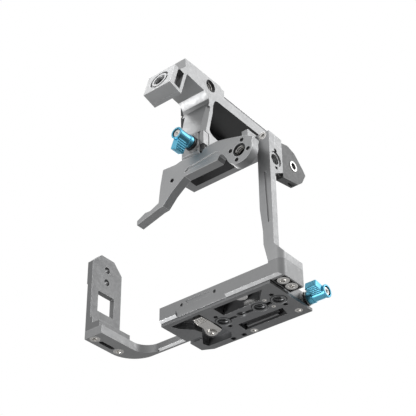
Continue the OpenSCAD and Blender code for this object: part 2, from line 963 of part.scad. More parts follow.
// Outline of the wing: bar beside the grip, rounded corner and strap behind it
module wing_outline() {
    outer_x = -wing_left;
    inner_x = -wing_left + wing_bar_w;
    back_y = strap_y0 + strap_t;
    difference() {
        union() {
            translate([outer_x, -wing_front])
                square([wing_left + tongue_end, wing_front + back_y - wing_corner_r]);
            translate([outer_x + wing_corner_r, -wing_front])
                square([wing_left + tongue_end - wing_corner_r, wing_front + back_y]);
            translate([outer_x + wing_corner_r, back_y - wing_corner_r])
                circle(r = wing_corner_r, $fn = 96);
        }
        translate([inner_x, -wing_front - over])
            square([wing_left, wing_front + over + strap_y0 - wing_inner_r]);
        translate([inner_x + wing_inner_r, -wing_front - over])
            square([wing_left, wing_front + over + strap_y0]);
        translate([inner_x + wing_inner_r, strap_y0 - wing_inner_r])
            circle(r = wing_inner_r, $fn = 96);
    }
}

module grip_wing() {
    slot_x0 = -wing_left + grip_screw_x;
    color("dimgray")
    difference() {
        translate([0, 0, wing_z0])
            linear_extrude(wing_h)
                wing_outline();
        for (y = grip_screw_y)
            translate([slot_x0, y, wing_z0])
                screw_room(grip_head_r, grip_head_h, grip_shank_r, wing_h);
        translate([slot_x0, (grip_screw_y[0] + grip_screw_y[1]) / 2, wing_z0 - over])
            linear_extrude(wing_h + 2 * over)
                union() {
                    square([strap_slot_w, strap_slot_l - strap_slot_w], center = true);
                    for (s = [-1, 1])
                        translate([0, s * (strap_slot_l - strap_slot_w) / 2])
                            circle(r = strap_slot_w / 2);
                }
        // Chamfer along the strap's inner lower edge
        yz_plate([[strap_y0 - over, wing_z0 - over], [strap_y0 + strap_chamfer, wing_z0 - over],
                  [strap_y0 + strap_chamfer, wing_z0], [strap_y0, wing_z0 + strap_chamfer],
                  [strap_y0 - over, wing_z0 + strap_chamfer]],
                 -wing_left + wing_bar_w + wing_inner_r, wing_left - wing_bar_w - wing_inner_r - plate_left);
        for (x = wing_screw_x)
            translate([x, strap_y0 + strap_t / 2, wing_z0 + over])
                cylinder(r = m2_r, h = wing_h);
    }
}

module wing_screws() {
    color("silver")
    for (x = wing_screw_x)
        translate([x, strap_y0 + strap_t / 2, deck_top])
            rotate([180, 0, 0])
                socket_screw(m3_r + m2_r / 2, m3_r, m2_r, deck_t + wing_h - m3_r - 2 * over);
}

module grip_plate() {
    outer_x = -wing_left;
    foot_x = outer_x + wing_bar_w - 2 * over;
    color("dimgray")
    difference() {
        union() {
            yz_plate([[-wing_front, wing_top], [-wing_front, side_plate_top - side_plate_slope],
                      [-wing_front + side_plate_slope, side_plate_top],
                      [-side_plate_back - side_plate_slope, side_plate_top],
                      [-side_plate_back, side_plate_top - side_plate_slope], [-side_plate_back, wing_top]],
                     outer_x, side_plate_t);
            yz_plate([[-wing_front, side_plate_step_z], [-wing_front, side_plate_top - side_plate_slope],
                      [-wing_front + side_plate_slope, side_plate_top],
                      [-side_plate_back - side_plate_slope, side_plate_top],
                      [-side_plate_back, side_plate_top - side_plate_slope],
                      [-side_plate_back, side_plate_step_z]],
                     outer_x - side_plate_step, side_plate_t + side_plate_step);
            translate([outer_x, -wing_front, wing_top])
                cube([foot_x - outer_x, wing_front - side_plate_back + over / 2, grip_foot_t]);
            yz_plate([[-wing_front, wing_top], [-wing_front, wing_top + 2 * grip_foot_t],
                      [-wing_front + grip_foot_t, wing_top]], outer_x, side_plate_t + grip_foot_t / 2);
        }
        for (y = grip_screw_y)
            translate([outer_x + grip_screw_x, y, 0])
                cylinder(r = grip_shank_r + fit_gap, h = wing_top + grip_foot_t - over / 2);
        translate([outer_x - side_plate_t, -side_window_y0, side_window_z0])
            cube([3 * side_plate_t, side_window_y0 - side_window_y1, side_window_z1 - side_window_z0]);
        for (z = side_thread_z)
            rod_x(thread14_r, side_plate_t + 4 * over, [outer_x - 2 * over, side_thread_y, z]);
    }
}

module grip_plate_screws() {
    color("silver")
    for (y = grip_screw_y)
        translate([-wing_left + grip_screw_x, y, wing_z0])
            socket_screw(grip_head_r, grip_head_h, grip_shank_r,
                         wing_h - grip_head_h + grip_foot_t - over);
}

module port_side_column() {
    bevel_h = 8.8;
    color("gray")
    difference() {
        union() {
            xz_plate([
                [column_x, column_top], [column_x, block_top + column_kink_h[2]], [column_x + foot_lean, block_top + column_kink_h[1]],
                [column_x + foot_lean, block_top + column_kink_h[0]], [block_left + seat_gap, block_top],
                [block_right, block_top], [block_right, foot_top], [column_right, foot_top + foot_rise],
                [column_right, column_top]
            ], front_y, column_t);
            // Upper block behind the post
            translate([column_x, column_back - over, upper_z0])
                cube([column_w, block_reach - column_t + over, upper_z1 - upper_z0]);
            translate([column_x, column_back - over, upper_z1 - over])
                cube([column_w, upper_front - column_back + over, column_top - upper_z1 + over]);
            translate([block_left + seat_gap, front_y, block_top])
                cube([block_right - block_left - seat_gap, block_depth, foot_top - block_top]);
        }
        // Chamfer under the upper block
        yz_plate([[column_back + over / 2, upper_z0 - over], [front_y + block_reach + over, upper_z0 - over],
                  [front_y + block_reach + over, upper_z0 + bevel_h * 3 / 5], [column_back + over / 2, upper_z0]],
                 column_x - over, column_w + 2 * over);
        translate([block_right - block_corner_r, front_y, block_top - over])
            difference() {
                translate([0, -over, 0])
                    cube([block_corner_r + over, block_corner_r + over, 2 * foot_top]);
                translate([0, block_corner_r, -over])
                    cylinder(r = block_corner_r, h = 3 * foot_top);
            }
        for (p = foot_screw_pos)
            translate([p[0], p[1], block_top - over])
                cylinder(r = foot_shank_r + fit_gap, h = foot_flange_t + over);
        xz_plate([[groove_x1, groove_z0], [groove_x1 + groove_w, groove_z0], [groove_x0 + groove_w, groove_z1],
                  [groove_x0, groove_z1]], front_y - over, groove_d + over);
        rod_y(m3_r + fit_gap, column_t + column_screw_l, [column_screw_x, front_y - over, column_screw_z]);
        rod_y(column_screw_r + fit_gap, over + head_h_m3, [column_screw_x, front_y - over, column_screw_z]);
        rod_x(thread38_r, column_w + 2 * over, [column_x - over, side_hole_y, side_hole_z]);
        rod_x(side_csk_r, column_w, [column_right - csk_h, side_hole_y, side_hole_z]);
        for (s = [-1, 1])
            rod_x(pin_hole_r, column_w, [column_right - side_pin_d, side_hole_y, side_hole_z + s * side_pin_dz]);
        for (z = wing_screw_z)
            rod_y(m2_r + fit_gap, wing_screw_d + over,
                  [column_right - wing_t / 2, front_y + block_reach - wing_screw_d, side_hole_z + z]);
    }
}

module column_top_screw() {
    color("silver")
    translate([column_screw_x, front_y, column_screw_z])
        rotate([-90, 0, 0])
            socket_screw(column_screw_r, head_h_m3, m3_r, column_screw_l - head_h_m3);
}

module side_wing() {
    color("gray")
    difference() {
        yz_plate([for (p = wing_back_points) [front_y + p[0], side_hole_z + p[1]]],
                 column_right - wing_t, wing_t);
        rod_x(wing_insert_r, column_right, [column_right - wing_t - over, wing_hole_y, wing_hole_z]);
        for (z = wing_screw_z)
            translate([column_right - wing_t / 2, wing_screw_y, side_hole_z + z])
                rotate([90, 0, 0])
                    screw_room(m2_r + m2_r * 3 / 5, m2_r, m2_r, wing_screw_d);
        for (z = wing_screw_z)
            rod_y(m2_r * 8 / 5 + fit_gap, block_reach * 2, [column_right - wing_t / 2, wing_screw_y - over / 10, side_hole_z + z]);
    }
}

module side_wing_screws() {
    color("silver")
    for (z = wing_screw_z)
        translate([column_right - wing_t / 2, wing_screw_y, side_hole_z + z])
            rotate([90, 0, 0])
                socket_screw(m2_r * 8 / 5, m2_r, m2_r, wing_screw_d + over / 2);
}

module side_wing_insert() {
    color("silver")
    difference() {
        rod_x(wing_insert_r, wing_t + wing_insert_proud, [column_right - wing_t, wing_hole_y, wing_hole_z]);
        rod_x(wing_insert_bore, column_right, [column_right - wing_t - over, wing_hole_y, wing_hole_z]);
    }
}

// Outline of the front plate without the round face, heights from the deck's top
function bar_points() = [
    [-20.8, 0.6], [-9, -0.2], [-4.4, 0.8], [14, -1], [15.2, 1.1], [19.6, 2.3], [27.4, 2.3],
    [column_x - bar_slope_in, -0.6], [column_x + bar_tip, -4.4], [disc_x + disc_r + disc_ear, -8.2],
    [disc_x + disc_r - disc_ear, disc_z - top_z], [disc_x, disc_z - top_z], [disc_x + neck_low[0], neck_low[1]],
    [35.4, -16.3], [34, -13.8], [32.2, -11.4], [30.6, -10.2], [28.9, -10.7],
    [27.4, -13.8], [-1.2, -13.8], [-7, -17.8], [-13.2, -22.5], [-20.3, -30.2],
    [-24.8, -30.7], [-44, -arm_drop], [-44, 3.5 - arm_drop], [-36.7, -28.8], [-32.1, -29.1],
    [-24.5, -25.8], [-23.1, -12.1], [-21.7, -4.2]
];

module top_frame() {
    color("gray")
    difference() {
        union() {
            xz_plate([for (p = bar_points()) [p[0], top_z + p[1]]], bar_y, bar_t);
            rod_y(disc_r, bar_t, [disc_x, bar_y, disc_z]);
            translate([0, 0, top_deck_z])
                linear_extrude(top_deck_t)
                    polygon([[rail_x0 - 8 * over, bar_y + over], [column_x - deck_in, bar_y + over], [column_x - seat_gap, bar_back],
                             [column_x - seat_gap, top_deck_back], [rail_x0 - 5 * over, top_deck_back]]);
            translate([lug_left, upper_front + fit_gap, lug_z0])
                cube([column_right - lug_left, lug_back - upper_front - fit_gap, column_top - lug_z0]);
            translate([lug_left, bar_back - over, top_deck_z])
                cube([column_x - seat_gap - lug_left, lug_back - bar_back + over, column_top - top_deck_z]);
        }
        rod_y(insert_r, insert_l + over, [disc_x, bar_y - over, disc_z]);
        for (a = [0:90:270])
            translate([disc_x, bar_y - over, disc_z])
                rotate([0, a + slot_turn, 0])
                    translate([slot_circle_r, 0, 0])
                        rotate([-90, 0, 0])
                            cylinder(r = pin_hole_r, h = over + bar_t / 2);
        rod_y(bar_hole_r, bar_t, [bar_hole_x, bar_y - over, top_z - bar_hole_drop]);
        // Shallow panel along the bar
        xz_plate([for (p = bar_panel_points) [p[0], top_z + p[1]]], bar_y - over, over + bar_panel_d);
        rod_y(m3_r + fit_gap, column_screw_l, [column_screw_x, column_back - over, column_screw_z]);
        for (x = rail_screw_x)
            translate([rail_x0 + x, rail_y, top_deck_z + over])
                cylinder(r = m3_r + fit_gap, h = top_deck_t);
    }
}

module front_insert() {
    color("silver")
    difference() {
        rod_y(insert_r, insert_l - csk_h, [disc_x, bar_y + csk_h, disc_z]);
        rod_y(thread38_r, bar_t, [disc_x, bar_y - over, disc_z]);
    }
}

module top_pads() {
    pad_w = 12;
    color("#202225")
    translate([rail_x0 + 2 * over, rail_y - pad_w / 2, top_deck_z - pad_t])
        cube([rail_l, pad_w, pad_t]);
}

// Section of the rail across Y, from the middle of its base
function rail_section() = [
    [-rail_foot_w / 2, 0], [rail_foot_w / 2, 0], [rail_foot_w / 2, rail_foot_h], [rail_w / 2, rail_edge_z0],
    [rail_w / 2, rail_edge_z1], [rail_top_w / 2, rail_h], [-rail_top_w / 2, rail_h],
    [-rail_w / 2, rail_edge_z1], [-rail_w / 2, rail_edge_z0], [-rail_foot_w / 2, rail_foot_h]
];

module top_rail() {
    color("dimgray")
    difference() {
        yz_plate([for (p = rail_section()) [rail_y + p[0], rail_z + p[1]]], rail_x0, rail_l);
        for (x = rail_screw_x)
            translate([rail_x0 + x, rail_y, rail_top])
                rotate([180, 0, 0])
                    screw_room(rail_head_r, head_h_m3, m3_r, rail_h);
        translate([pin_x + (slide_fore - slide_back) / 2, rail_y + pin_y, rail_top - pin_slot_d])
            slot(slide_fore + slide_back + 2 * (pin_r + slide_gap), 2 * (pin_r + slide_gap), pin_slot_d + over);
    }
}

module rail_screws() {
    color("silver")
    for (x = rail_screw_x)
        translate([rail_x0 + x, rail_y, rail_top])
            rotate([180, 0, 0])
                socket_screw(rail_head_r, head_h_m3, m3_r, rail_h - head_h_m3 + top_deck_t - 2 * over);
}

// Side view of the handle, Y from the rail's middle and Z from the rail's top
function handle_side() = concat([
    [-foot_front, slide_gap], [jaw_wall_y, slide_gap], [jaw_wall_y, jaw_wall_z - rail_h],
    [jaw_lip_y, jaw_lip_z - rail_h], [jaw_lip_y, jaw_z0 - rail_top], [rear_jaw_back, jaw_z0 - rail_top],
    [rear_jaw_back, foot_h - 2], [rear_jaw_back - 2, foot_h], [-0.6, foot_h], [-4.6, foot_h + 0.8],
    [-7.3, foot_h + 2.1], [-8.6, foot_h + 4], [-8.3, foot_h + 6.4],
    [-5, finger_h - 14.7], [-4, finger_h - 6.2], [-2.2, finger_h - 1.6], [0.2, finger_h],
    [beam_back, finger_h], [beam_back, finger_h + rear_beam_h], [9, finger_h + rear_beam_h],
    [9, finger_h + beam_h - 1.7], [6, finger_h + beam_h - 1.7], [side_step_y, finger_h + beam_h],
    [-beam_fore, finger_h + beam_h], [0.5 - beam_fore, finger_h + 9.2], [-beam_fore - 4, finger_h + 4.4],
    [-beam_fore - 6, finger_h + 2.75]
], nose_side(), [
    [-beam_fore + 2.2, finger_h + 3.3], [-19, finger_h + 1.5], [-14.2, finger_h + 1], [-11.3, finger_h - 0.8],
    [-9.2, finger_h - 3.4], [-8.5, finger_h - 6.7], [-10.8, finger_h - 14.7], [-13.8, finger_h - 26.1],
    [-jaw_front, foot_h + 2], [-jaw_front, foot_h + seat_gap], [-foot_front, foot_h + seat_gap]
]);

module mount_place() {
    translate([handle_x, mount_y, mount_z])
        rotate([-mount_tilt, 0, 0])
            children();
}

// Side view of the plate behind the front mount, in the tilted frame of the mount
function nose_side() = [
    for (p = [[mount_d + fit_gap, mount_h + nose_gap], [mount_d + fit_gap, 0],
              [mount_d + fit_gap + nose_t, 0], [mount_d + fit_gap + nose_t, mount_h + nose_over]])
        [mount_y - rail_y + p[0] * cos(mount_tilt) + p[1] * sin(mount_tilt),
         mount_z - rail_top - p[0] * sin(mount_tilt) + p[1] * cos(mount_tilt)]
];

module handle_body() {
    color("lightgray")
    difference() {
        union() {
            translate([handle_x - handle_half, rail_y, rail_top])
                rotate([90, 0, 90])
                    linear_extrude(handle_w)
                        polygon(handle_side());
        }
        // Edges of the strut's front face
        for (s = [-1, 1])
            translate([handle_x + s * handle_half, rail_y - jaw_front, rail_top + foot_h])
                rotate([strut_lean, 0, 0])
                    rotate([0, 0, 45])
                        translate([-strut_edge, -strut_edge, -over])
                            cube([2 * strut_edge, 2 * strut_edge, strut_edge_h]);
        for (p = cover_screw_pos)
            rod_x(cover_screw_r + fit_gap, cover_t * 2 + over, [handle_x - handle_half - over, rail_y + p[0], under_z + p[1]]);
        rod_x(insert_r, insert_len + over, [handle_x + handle_half - insert_len, rail_y + side_insert_y, beam_top - side_insert_drop]);
        rod_y(stud_r + run_gap, 2 * rear_jaw_back, [clamp_x, rail_y - foot_front - over, clamp_z]);
        rod_y(stud_r + 1.8 * over, over + head_h_m3 + over, [clamp_x, rail_y - foot_front - over, clamp_z]);
        translate([pin_x, rail_y + pin_y, foot_z0 - over])
            cylinder(r = pin_r + run_gap, h = foot_h + 2 * over);
        translate([pin_x, rail_y + pin_y, foot_z0 + foot_h / 4])
            cylinder(r = pin_chamber_r, h = foot_h / 2);
        mount_place()
            for (sx = [-1, 1], sz = [-1, 1])
                translate([sx * mount_screw_dx, mount_d + nose_t + fit_gap, mount_h / 2 + sz * mount_screw_dz])
                    rotate([90, 0, 0])
                        screw_room(mount_head_r, mount_head_h, mount_screw_r, nose_t);
        for (y = rail_piece_screw_y)
            translate([handle_x, rail_y + y, under_z + rear_beam_h / 3])
                cylinder(r = m3_r + fit_gap, h = rear_beam_h);
    }
}

module handle_insert() {
    color("silver")
    difference() {
        rod_x(insert_r, insert_len - csk_h, [handle_x + handle_half - insert_len, rail_y + side_insert_y, beam_top - side_insert_drop]);
        rod_x(thread38_r, insert_len + over, [handle_x + handle_half - insert_len - over / 2, rail_y + side_insert_y, beam_top - side_insert_drop]);
    }
}

module handle_rail() {
    z0 = under_z + rear_beam_h;
    color("#55585c")
    difference() {
        yz_plate([[rail_y + rail_piece_y0 + seat_gap, z0], [rail_y + beam_back + rail_piece_over, z0],
                  [rail_y + beam_back + rail_piece_over, z0 + rail_piece_h - rail_chamfer],
                  [rail_y + beam_back + rail_piece_over - rail_chamfer, z0 + rail_piece_h],
                  [rail_y + rail_piece_y0 + seat_gap, z0 + rail_piece_h]],
                 handle_x - rail_piece_w / 2, rail_piece_w);
        for (y = rail_piece_screw_y)
            translate([handle_x, rail_y + y, z0 + rail_piece_h])
                rotate([180, 0, 0])
                    screw_room(rail_head_r, head_h_m3, m3_r, rail_piece_h);
        // Anti-slip grooves across the top
        for (i = [0:8])
            translate([handle_x - rail_piece_w, rail_y + 26 * over + i * 3 * over, z0 + rail_piece_h - over / 2])
                cube([2 * rail_piece_w, over, over]);
    }
}

module handle_rail_screws() {
    color("silver")
    for (y = rail_piece_screw_y)
        translate([handle_x, rail_y + y, under_z + rear_beam_h + rail_piece_h])
            rotate([180, 0, 0])
                socket_screw(rail_head_r, head_h_m3, m3_r, rail_piece_h + rear_beam_h * 2 / 3 - head_h_m3 - over);
}

module side_cover() {
    color("#1c1d1f")
    difference() {
        yz_plate([for (p = cover_points) [rail_y + p[0], under_z + p[1]]], handle_x - handle_half - cover_t, cover_t);
        for (p = cover_screw_pos)
            rod_x(cover_screw_r + fit_gap, cover_t + 2 * over,
                  [handle_x - handle_half - cover_t - over, rail_y + p[0], under_z + p[1]]);
        for (p = cover_screw_pos)
            rod_x(cover_head_r + fit_gap, over + cover_t / 2,
                  [handle_x - handle_half - cover_t - over, rail_y + p[0], under_z + p[1]]);
    }
}

module side_cover_screws() {
    color("silver")
    for (p = cover_screw_pos)
        translate([handle_x - handle_half - cover_t, rail_y + p[0], under_z + p[1]])
            rotate([0, 90, 0])
                socket_screw(cover_head_r, cover_t / 2, cover_screw_r, cover_t * 2);
}

module front_mount() {
    color("whitesmoke")
    mount_place()
        difference() {
            union() {
                translate([-handle_half, 0, 0])
                    cube([handle_w, flange_d, mount_h]);
                translate([-handle_half, 0, 0])
                    cube([handle_w, mount_d, shelf_h]);
                translate([-core_w / 2, 0, 0])
                    cube([core_w, mount_d, mount_h]);
            }
            rod_y(thread38_r, mount_d + 2 * over, [0, -over, mount_h / 2]);
            rod_y(mount_csk_r, over + csk_h, [0, -over, mount_h / 2]);
            difference() {
                rod_y(ring_groove_r1, over + ring_groove_d, [0, -over, mount_h / 2]);
                rod_y(ring_groove_r0, 2 * over + ring_groove_d, [0, -over - over / 2, mount_h / 2]);
            }
            for (sx = [-1, 1], sz = [-1, 1])
                rod_y(mount_screw_r + fit_gap, mount_screw_l, [sx * mount_screw_dx, flange_d, mount_h / 2 + sz * mount_screw_dz]);
        }
}

module front_mount_screws() {
    color("silver")
    mount_place()
        for (sx = [-1, 1], sz = [-1, 1])
            translate([sx * mount_screw_dx, mount_d + nose_t + fit_gap, mount_h / 2 + sz * mount_screw_dz])
                rotate([90, 0, 0])
                    socket_screw(mount_head_r, mount_head_h, mount_screw_r, mount_screw_l - mount_head_h);
}

module clamp_jaw() {
    half = jaw_w / 2;
    color("lightgray")
    difference() {
        yz_plate([
            [rail_y - jaw_front, foot_top_z], [rail_y - jaw_front, jaw_z0 + jaw_chamfer],
            [rail_y - jaw_front + jaw_chamfer / 2, jaw_z0], [rail_y - jaw_lip_y, jaw_z0],
            [rail_y - jaw_lip_y, rail_z + jaw_lip_z], [rail_y - jaw_wall_y, rail_z + jaw_wall_z],
            [rail_y - jaw_wall_y, foot_top_z]
        ], handle_x - half, jaw_w);
        rod_y(stud_r + run_gap, 2 * jaw_front, [clamp_x, rail_y - 2 * jaw_front, clamp_z]);
        for (s = [-1, 1])
            translate([handle_x + s * half, rail_y - jaw_front, clamp_z])
                rotate([0, 0, 45])
                    cube([jaw_chamfer / 2, jaw_chamfer / 2, 3 * foot_h], center = true);
    }
}

module clamp_place() {
    translate([clamp_x, rail_y - jaw_front, clamp_z])
        rotate([90, 0, 0])
            rotate([0, 0, clamp_lever_turn])
                children();
}

module clamp_collar() {
    color("silver")
    clamp_place()
        knob_collar();
}

module clamp_washers() {
    color("silver")
    clamp_place()
        knob_washers();
}

module clamp_ring() {
    color("#1c1d1f")
    clamp_place()
        knob_ring();
}

module clamp_stud() {
    color("silver")
    clamp_place()
        knob_stud(jaw_front + rail_top_w / 2);
}

module clamp_lever() {
    color("deepskyblue")
    clamp_place()
        knob_lever();
}

module clamp_lever_screw() {
    color("silver")
    clamp_place()
        knob_screw();
}

module clamp_spring() {
    color("silver")
    difference() {
        rod_y(stud_r + 1.6 * over, head_h_m3 + over / 2, [clamp_x, rail_y - foot_front + over / 2, clamp_z]);
        rod_y(stud_r + run_gap + fit_gap, 2 * head_h_m3 + over, [clamp_x, rail_y - foot_front, clamp_z]);
    }
}

module safety_pin() {
    color("silver")
    translate([pin_x, rail_y + pin_y, rail_top - pin_dip])
        union() {
            cylinder(r = pin_r, h = pin_dip + foot_h + seat_gap + over / 2);
            translate([0, 0, pin_dip + slide_gap + foot_h / 4 + seat_gap])
                cylinder(r = pin_collar_r, h = pin_collar_h);
            translate([0, 0, pin_dip + foot_h + seat_gap])
                cylinder(r = button_r, h = button_h);
        }
}

module safety_spring() {
    z0 = foot_z0 + foot_h / 4 + seat_gap + pin_collar_h + fit_gap;
    z1 = foot_z0 + 3 * foot_h / 4 - fit_gap;
    color("silver")
    translate([pin_x, rail_y + pin_y, z0])
        difference() {
            cylinder(r = pin_collar_r, h = z1 - z0);
            translate([0, 0, -over])
                cylinder(r = pin_r + fit_gap, h = z1 - z0 + 2 * over);
        }
}

bottom_plate();
tripod_inserts();
base_frame();
plate_screws();
foot_screws();
base_pad();
camera_screw();
camera_screw_clip();
locating_dowel();
latch_lever();
latch_pivot();
latch_spring();
hex_key();
key_magnets();
side_collar();
side_washers();
side_ring();
side_stud();
side_lever();
side_lever_screw();
grip_wing();
wing_screws();
grip_plate();
grip_plate_screws();
port_side_column();
column_top_screw();
side_wing();
side_wing_screws();
side_wing_insert();
top_frame();
front_insert();
top_pads();
top_rail();
rail_screws();
handle_body();
handle_insert();
handle_rail();
handle_rail_screws();
side_cover();
side_cover_screws();
front_mount();
front_mount_screws();
clamp_jaw();
clamp_collar();
clamp_washers();
clamp_ring();
clamp_stud();
clamp_lever();
clamp_lever_screw();
clamp_spring();
safety_pin();
safety_spring();
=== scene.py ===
"""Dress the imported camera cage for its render: finishes, machined edges, knobs, springs and studio."""

from __future__ import annotations

import json
import logging
import math
from collections.abc import Iterable, Sequence
from dataclasses import dataclass
from enum import Enum

import bpy
from mathutils import Matrix, Vector

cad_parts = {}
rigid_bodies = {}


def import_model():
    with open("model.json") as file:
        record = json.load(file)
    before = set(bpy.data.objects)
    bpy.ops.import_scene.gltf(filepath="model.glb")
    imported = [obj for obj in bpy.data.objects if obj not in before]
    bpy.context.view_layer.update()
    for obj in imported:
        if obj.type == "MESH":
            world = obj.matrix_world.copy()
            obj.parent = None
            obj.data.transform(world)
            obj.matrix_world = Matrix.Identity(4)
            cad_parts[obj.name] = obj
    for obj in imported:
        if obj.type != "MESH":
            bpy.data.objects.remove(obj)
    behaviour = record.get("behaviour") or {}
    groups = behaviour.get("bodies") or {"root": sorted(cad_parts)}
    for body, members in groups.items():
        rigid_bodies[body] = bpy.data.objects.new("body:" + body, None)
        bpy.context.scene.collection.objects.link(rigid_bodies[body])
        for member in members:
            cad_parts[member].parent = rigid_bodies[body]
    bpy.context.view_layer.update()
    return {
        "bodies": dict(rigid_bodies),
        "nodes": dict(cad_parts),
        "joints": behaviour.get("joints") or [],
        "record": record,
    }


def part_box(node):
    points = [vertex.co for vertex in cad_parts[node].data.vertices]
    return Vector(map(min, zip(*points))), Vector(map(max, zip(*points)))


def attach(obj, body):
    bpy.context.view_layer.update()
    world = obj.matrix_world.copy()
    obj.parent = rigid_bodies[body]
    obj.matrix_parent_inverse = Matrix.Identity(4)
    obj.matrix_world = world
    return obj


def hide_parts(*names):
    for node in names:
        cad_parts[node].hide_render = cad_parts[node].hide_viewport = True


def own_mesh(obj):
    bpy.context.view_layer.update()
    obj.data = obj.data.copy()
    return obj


LOG = logging.getLogger("camera_cage")
MM = 0.001
# Distances within which points are merged, in metres: on a CAD mesh and on a wound wire
WELD_M = 1e-6
FINE_WELD_M = 1e-7
# Largest angle between faces that are merged into one, in degrees
FLAT_ANGLE = 1.0
# Length by which a cutter passes the surface, in millimetres
OVERRUN = 1.0
# Smallest edge angle that is rounded on a modelled piece, in degrees
ROUND_ANGLE = 60.0
# Largest edge angle that is shaded smooth on a modelled piece, in degrees
SMOOTH_ANGLE = 40.0
# Weight of large faces in the shading of their corners
FACE_WEIGHT = 80


class Slot(Enum):
    """The record's material slots."""

    DARK = "dark_anodised"
    GREY = "grey_anodised"
    LIGHT = "light_anodised"
    BLACK = "black_anodised"
    STAINLESS = "stainless"
    BLACK_STEEL = "black_steel"
    RUBBER = "rubber"
    BLUE = "blue_anodised"
    NYLON = "nylon"
    MAGNET = "magnet"


class Body(Enum):
    """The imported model's bodies that pieces ride on."""

    CAGE = "cage"
    LATCH = "latch"
    SIDE_KNOB = "side_knob"
    SCREW = "captive_screw"
    HANDLE = "top_handle"
    JAW = "jaw"
    CLAMP_KNOB = "clamp_knob"
    PIN = "pin"


class Solid(Enum):
    """Ways to combine two solids."""

    UNION = "UNION"
    CUT = "DIFFERENCE"


@dataclass(frozen=True)
class Finish:
    """Look of one material slot.

    Attributes:
        base: Main colour, linear RGB.
        tint: Second colour that drifts across the surface, linear RGB.
        metallic: Share of metal in the shader.
        rough: Lowest and highest roughness.
        grain_mm: Size of the blasted grain in millimetres.
        bump: Strength of the grain's relief.
        edge: Colour of the machined edges, linear RGB.
        edge_rough: Lowest roughness of the machined edges.
    """

    base: tuple[float, float, float]
    tint: tuple[float, float, float]
    metallic: float
    rough: tuple[float, float]
    grain_mm: float
    bump: float
    edge: tuple[float, float, float]
    edge_rough: float = 0.3


FINISHES: dict[Slot, Finish] = {
    Slot.DARK: Finish((0.150, 0.152, 0.156), (0.175, 0.177, 0.180), 0.85, (0.40, 0.50), 0.22, 0.08,
                      (0.62, 0.625, 0.63)),
    Slot.GREY: Finish((0.275, 0.278, 0.282), (0.305, 0.307, 0.310), 0.85, (0.40, 0.50), 0.22, 0.08,
                      (0.72, 0.725, 0.73)),
    Slot.LIGHT: Finish((0.300, 0.303, 0.306), (0.330, 0.332, 0.335), 0.85, (0.40, 0.50), 0.22, 0.07,
                       (0.78, 0.785, 0.79)),
    Slot.BLACK: Finish((0.030, 0.031, 0.033), (0.042, 0.043, 0.046), 0.70, (0.36, 0.48), 0.20, 0.08,
                       (0.16, 0.162, 0.166)),
    Slot.STAINLESS: Finish((0.46, 0.45, 0.435), (0.52, 0.51, 0.495), 1.0, (0.24, 0.34), 0.12, 0.03,
                           (0.84, 0.83, 0.81), 0.22),
    Slot.BLACK_STEEL: Finish((0.030, 0.030, 0.032), (0.046, 0.046, 0.049), 0.85, (0.34, 0.48), 0.15, 0.05,
                             (0.16, 0.16, 0.165)),
    Slot.RUBBER: Finish((0.018, 0.018, 0.019), (0.028, 0.028, 0.030), 0.0, (0.72, 0.88), 0.45, 0.35,
                        (0.030, 0.030, 0.032), 0.7),
    Slot.BLUE: Finish((0.100, 0.380, 0.530), (0.125, 0.420, 0.575), 0.88, (0.28, 0.36), 0.16, 0.04,
                      (0.42, 0.80, 0.93), 0.24),
    Slot.NYLON: Finish((0.016, 0.016, 0.017), (0.026, 0.026, 0.028), 0.0, (0.46, 0.60), 0.30, 0.12,
                       (0.040, 0.040, 0.042), 0.45),
    Slot.MAGNET: Finish((0.62, 0.61, 0.59), (0.70, 0.69, 0.67), 1.0, (0.12, 0.22), 0.25, 0.03,
                        (0.8, 0.79, 0.77), 0.15),
}


@dataclass(frozen=True)
class PaintedShade:
    """Painted shade: a darker colour on the faces that look down, over a stretch of the part, where less
    light reaches.

    Attributes:
        start: Y where it begins, in millimetres.
        full: Y where it is complete, in millimetres.
        factor: Share of the colour that is left.
        facing: Z of the normal where it begins and where it is complete.
    """

    start: float
    full: float
    factor: float
    facing: tuple[float, float] = (-0.30, -0.75)


@dataclass(frozen=True)
class Pattern:
    """The noise patterns that all finishes share.

    Attributes:
        drift: Scale of the slow drift in colour, per metre.
        drift_range: Noise values over which the colour drifts.
        scuffs: Scale of the scuffs, per metre.
        scuff_twist: Distortion of the scuffs.
        scuff_range: Noise values over which the roughness changes.
        speck_share: Share of the grain's specks in the colour.
        speck_grey: Grey of the darkest specks.
        speck_range: Noise values of the darkest specks and of none.
        relief: Depth of the grain's relief, in metres.
        edge_drift: Gain of the drift's second colour on machined edges.
        edge_spread: Range of the roughness on machined edges.
        edge_relief: Share of the relief on machined edges.
    """

    drift: float = 26.0
    drift_range: tuple[float, float] = (0.35, 0.65)
    scuffs: float = 210.0
    scuff_twist: float = 1.4
    scuff_range: tuple[float, float] = (0.3, 0.7)
    speck_share: float = 0.16
    speck_grey: float = 0.62
    speck_range: tuple[float, float] = (0.30, 0.62)
    relief: float = 0.0002
    edge_drift: float = 1.05
    edge_spread: float = 0.1
    edge_relief: float = 0.5


PATTERN = Pattern()


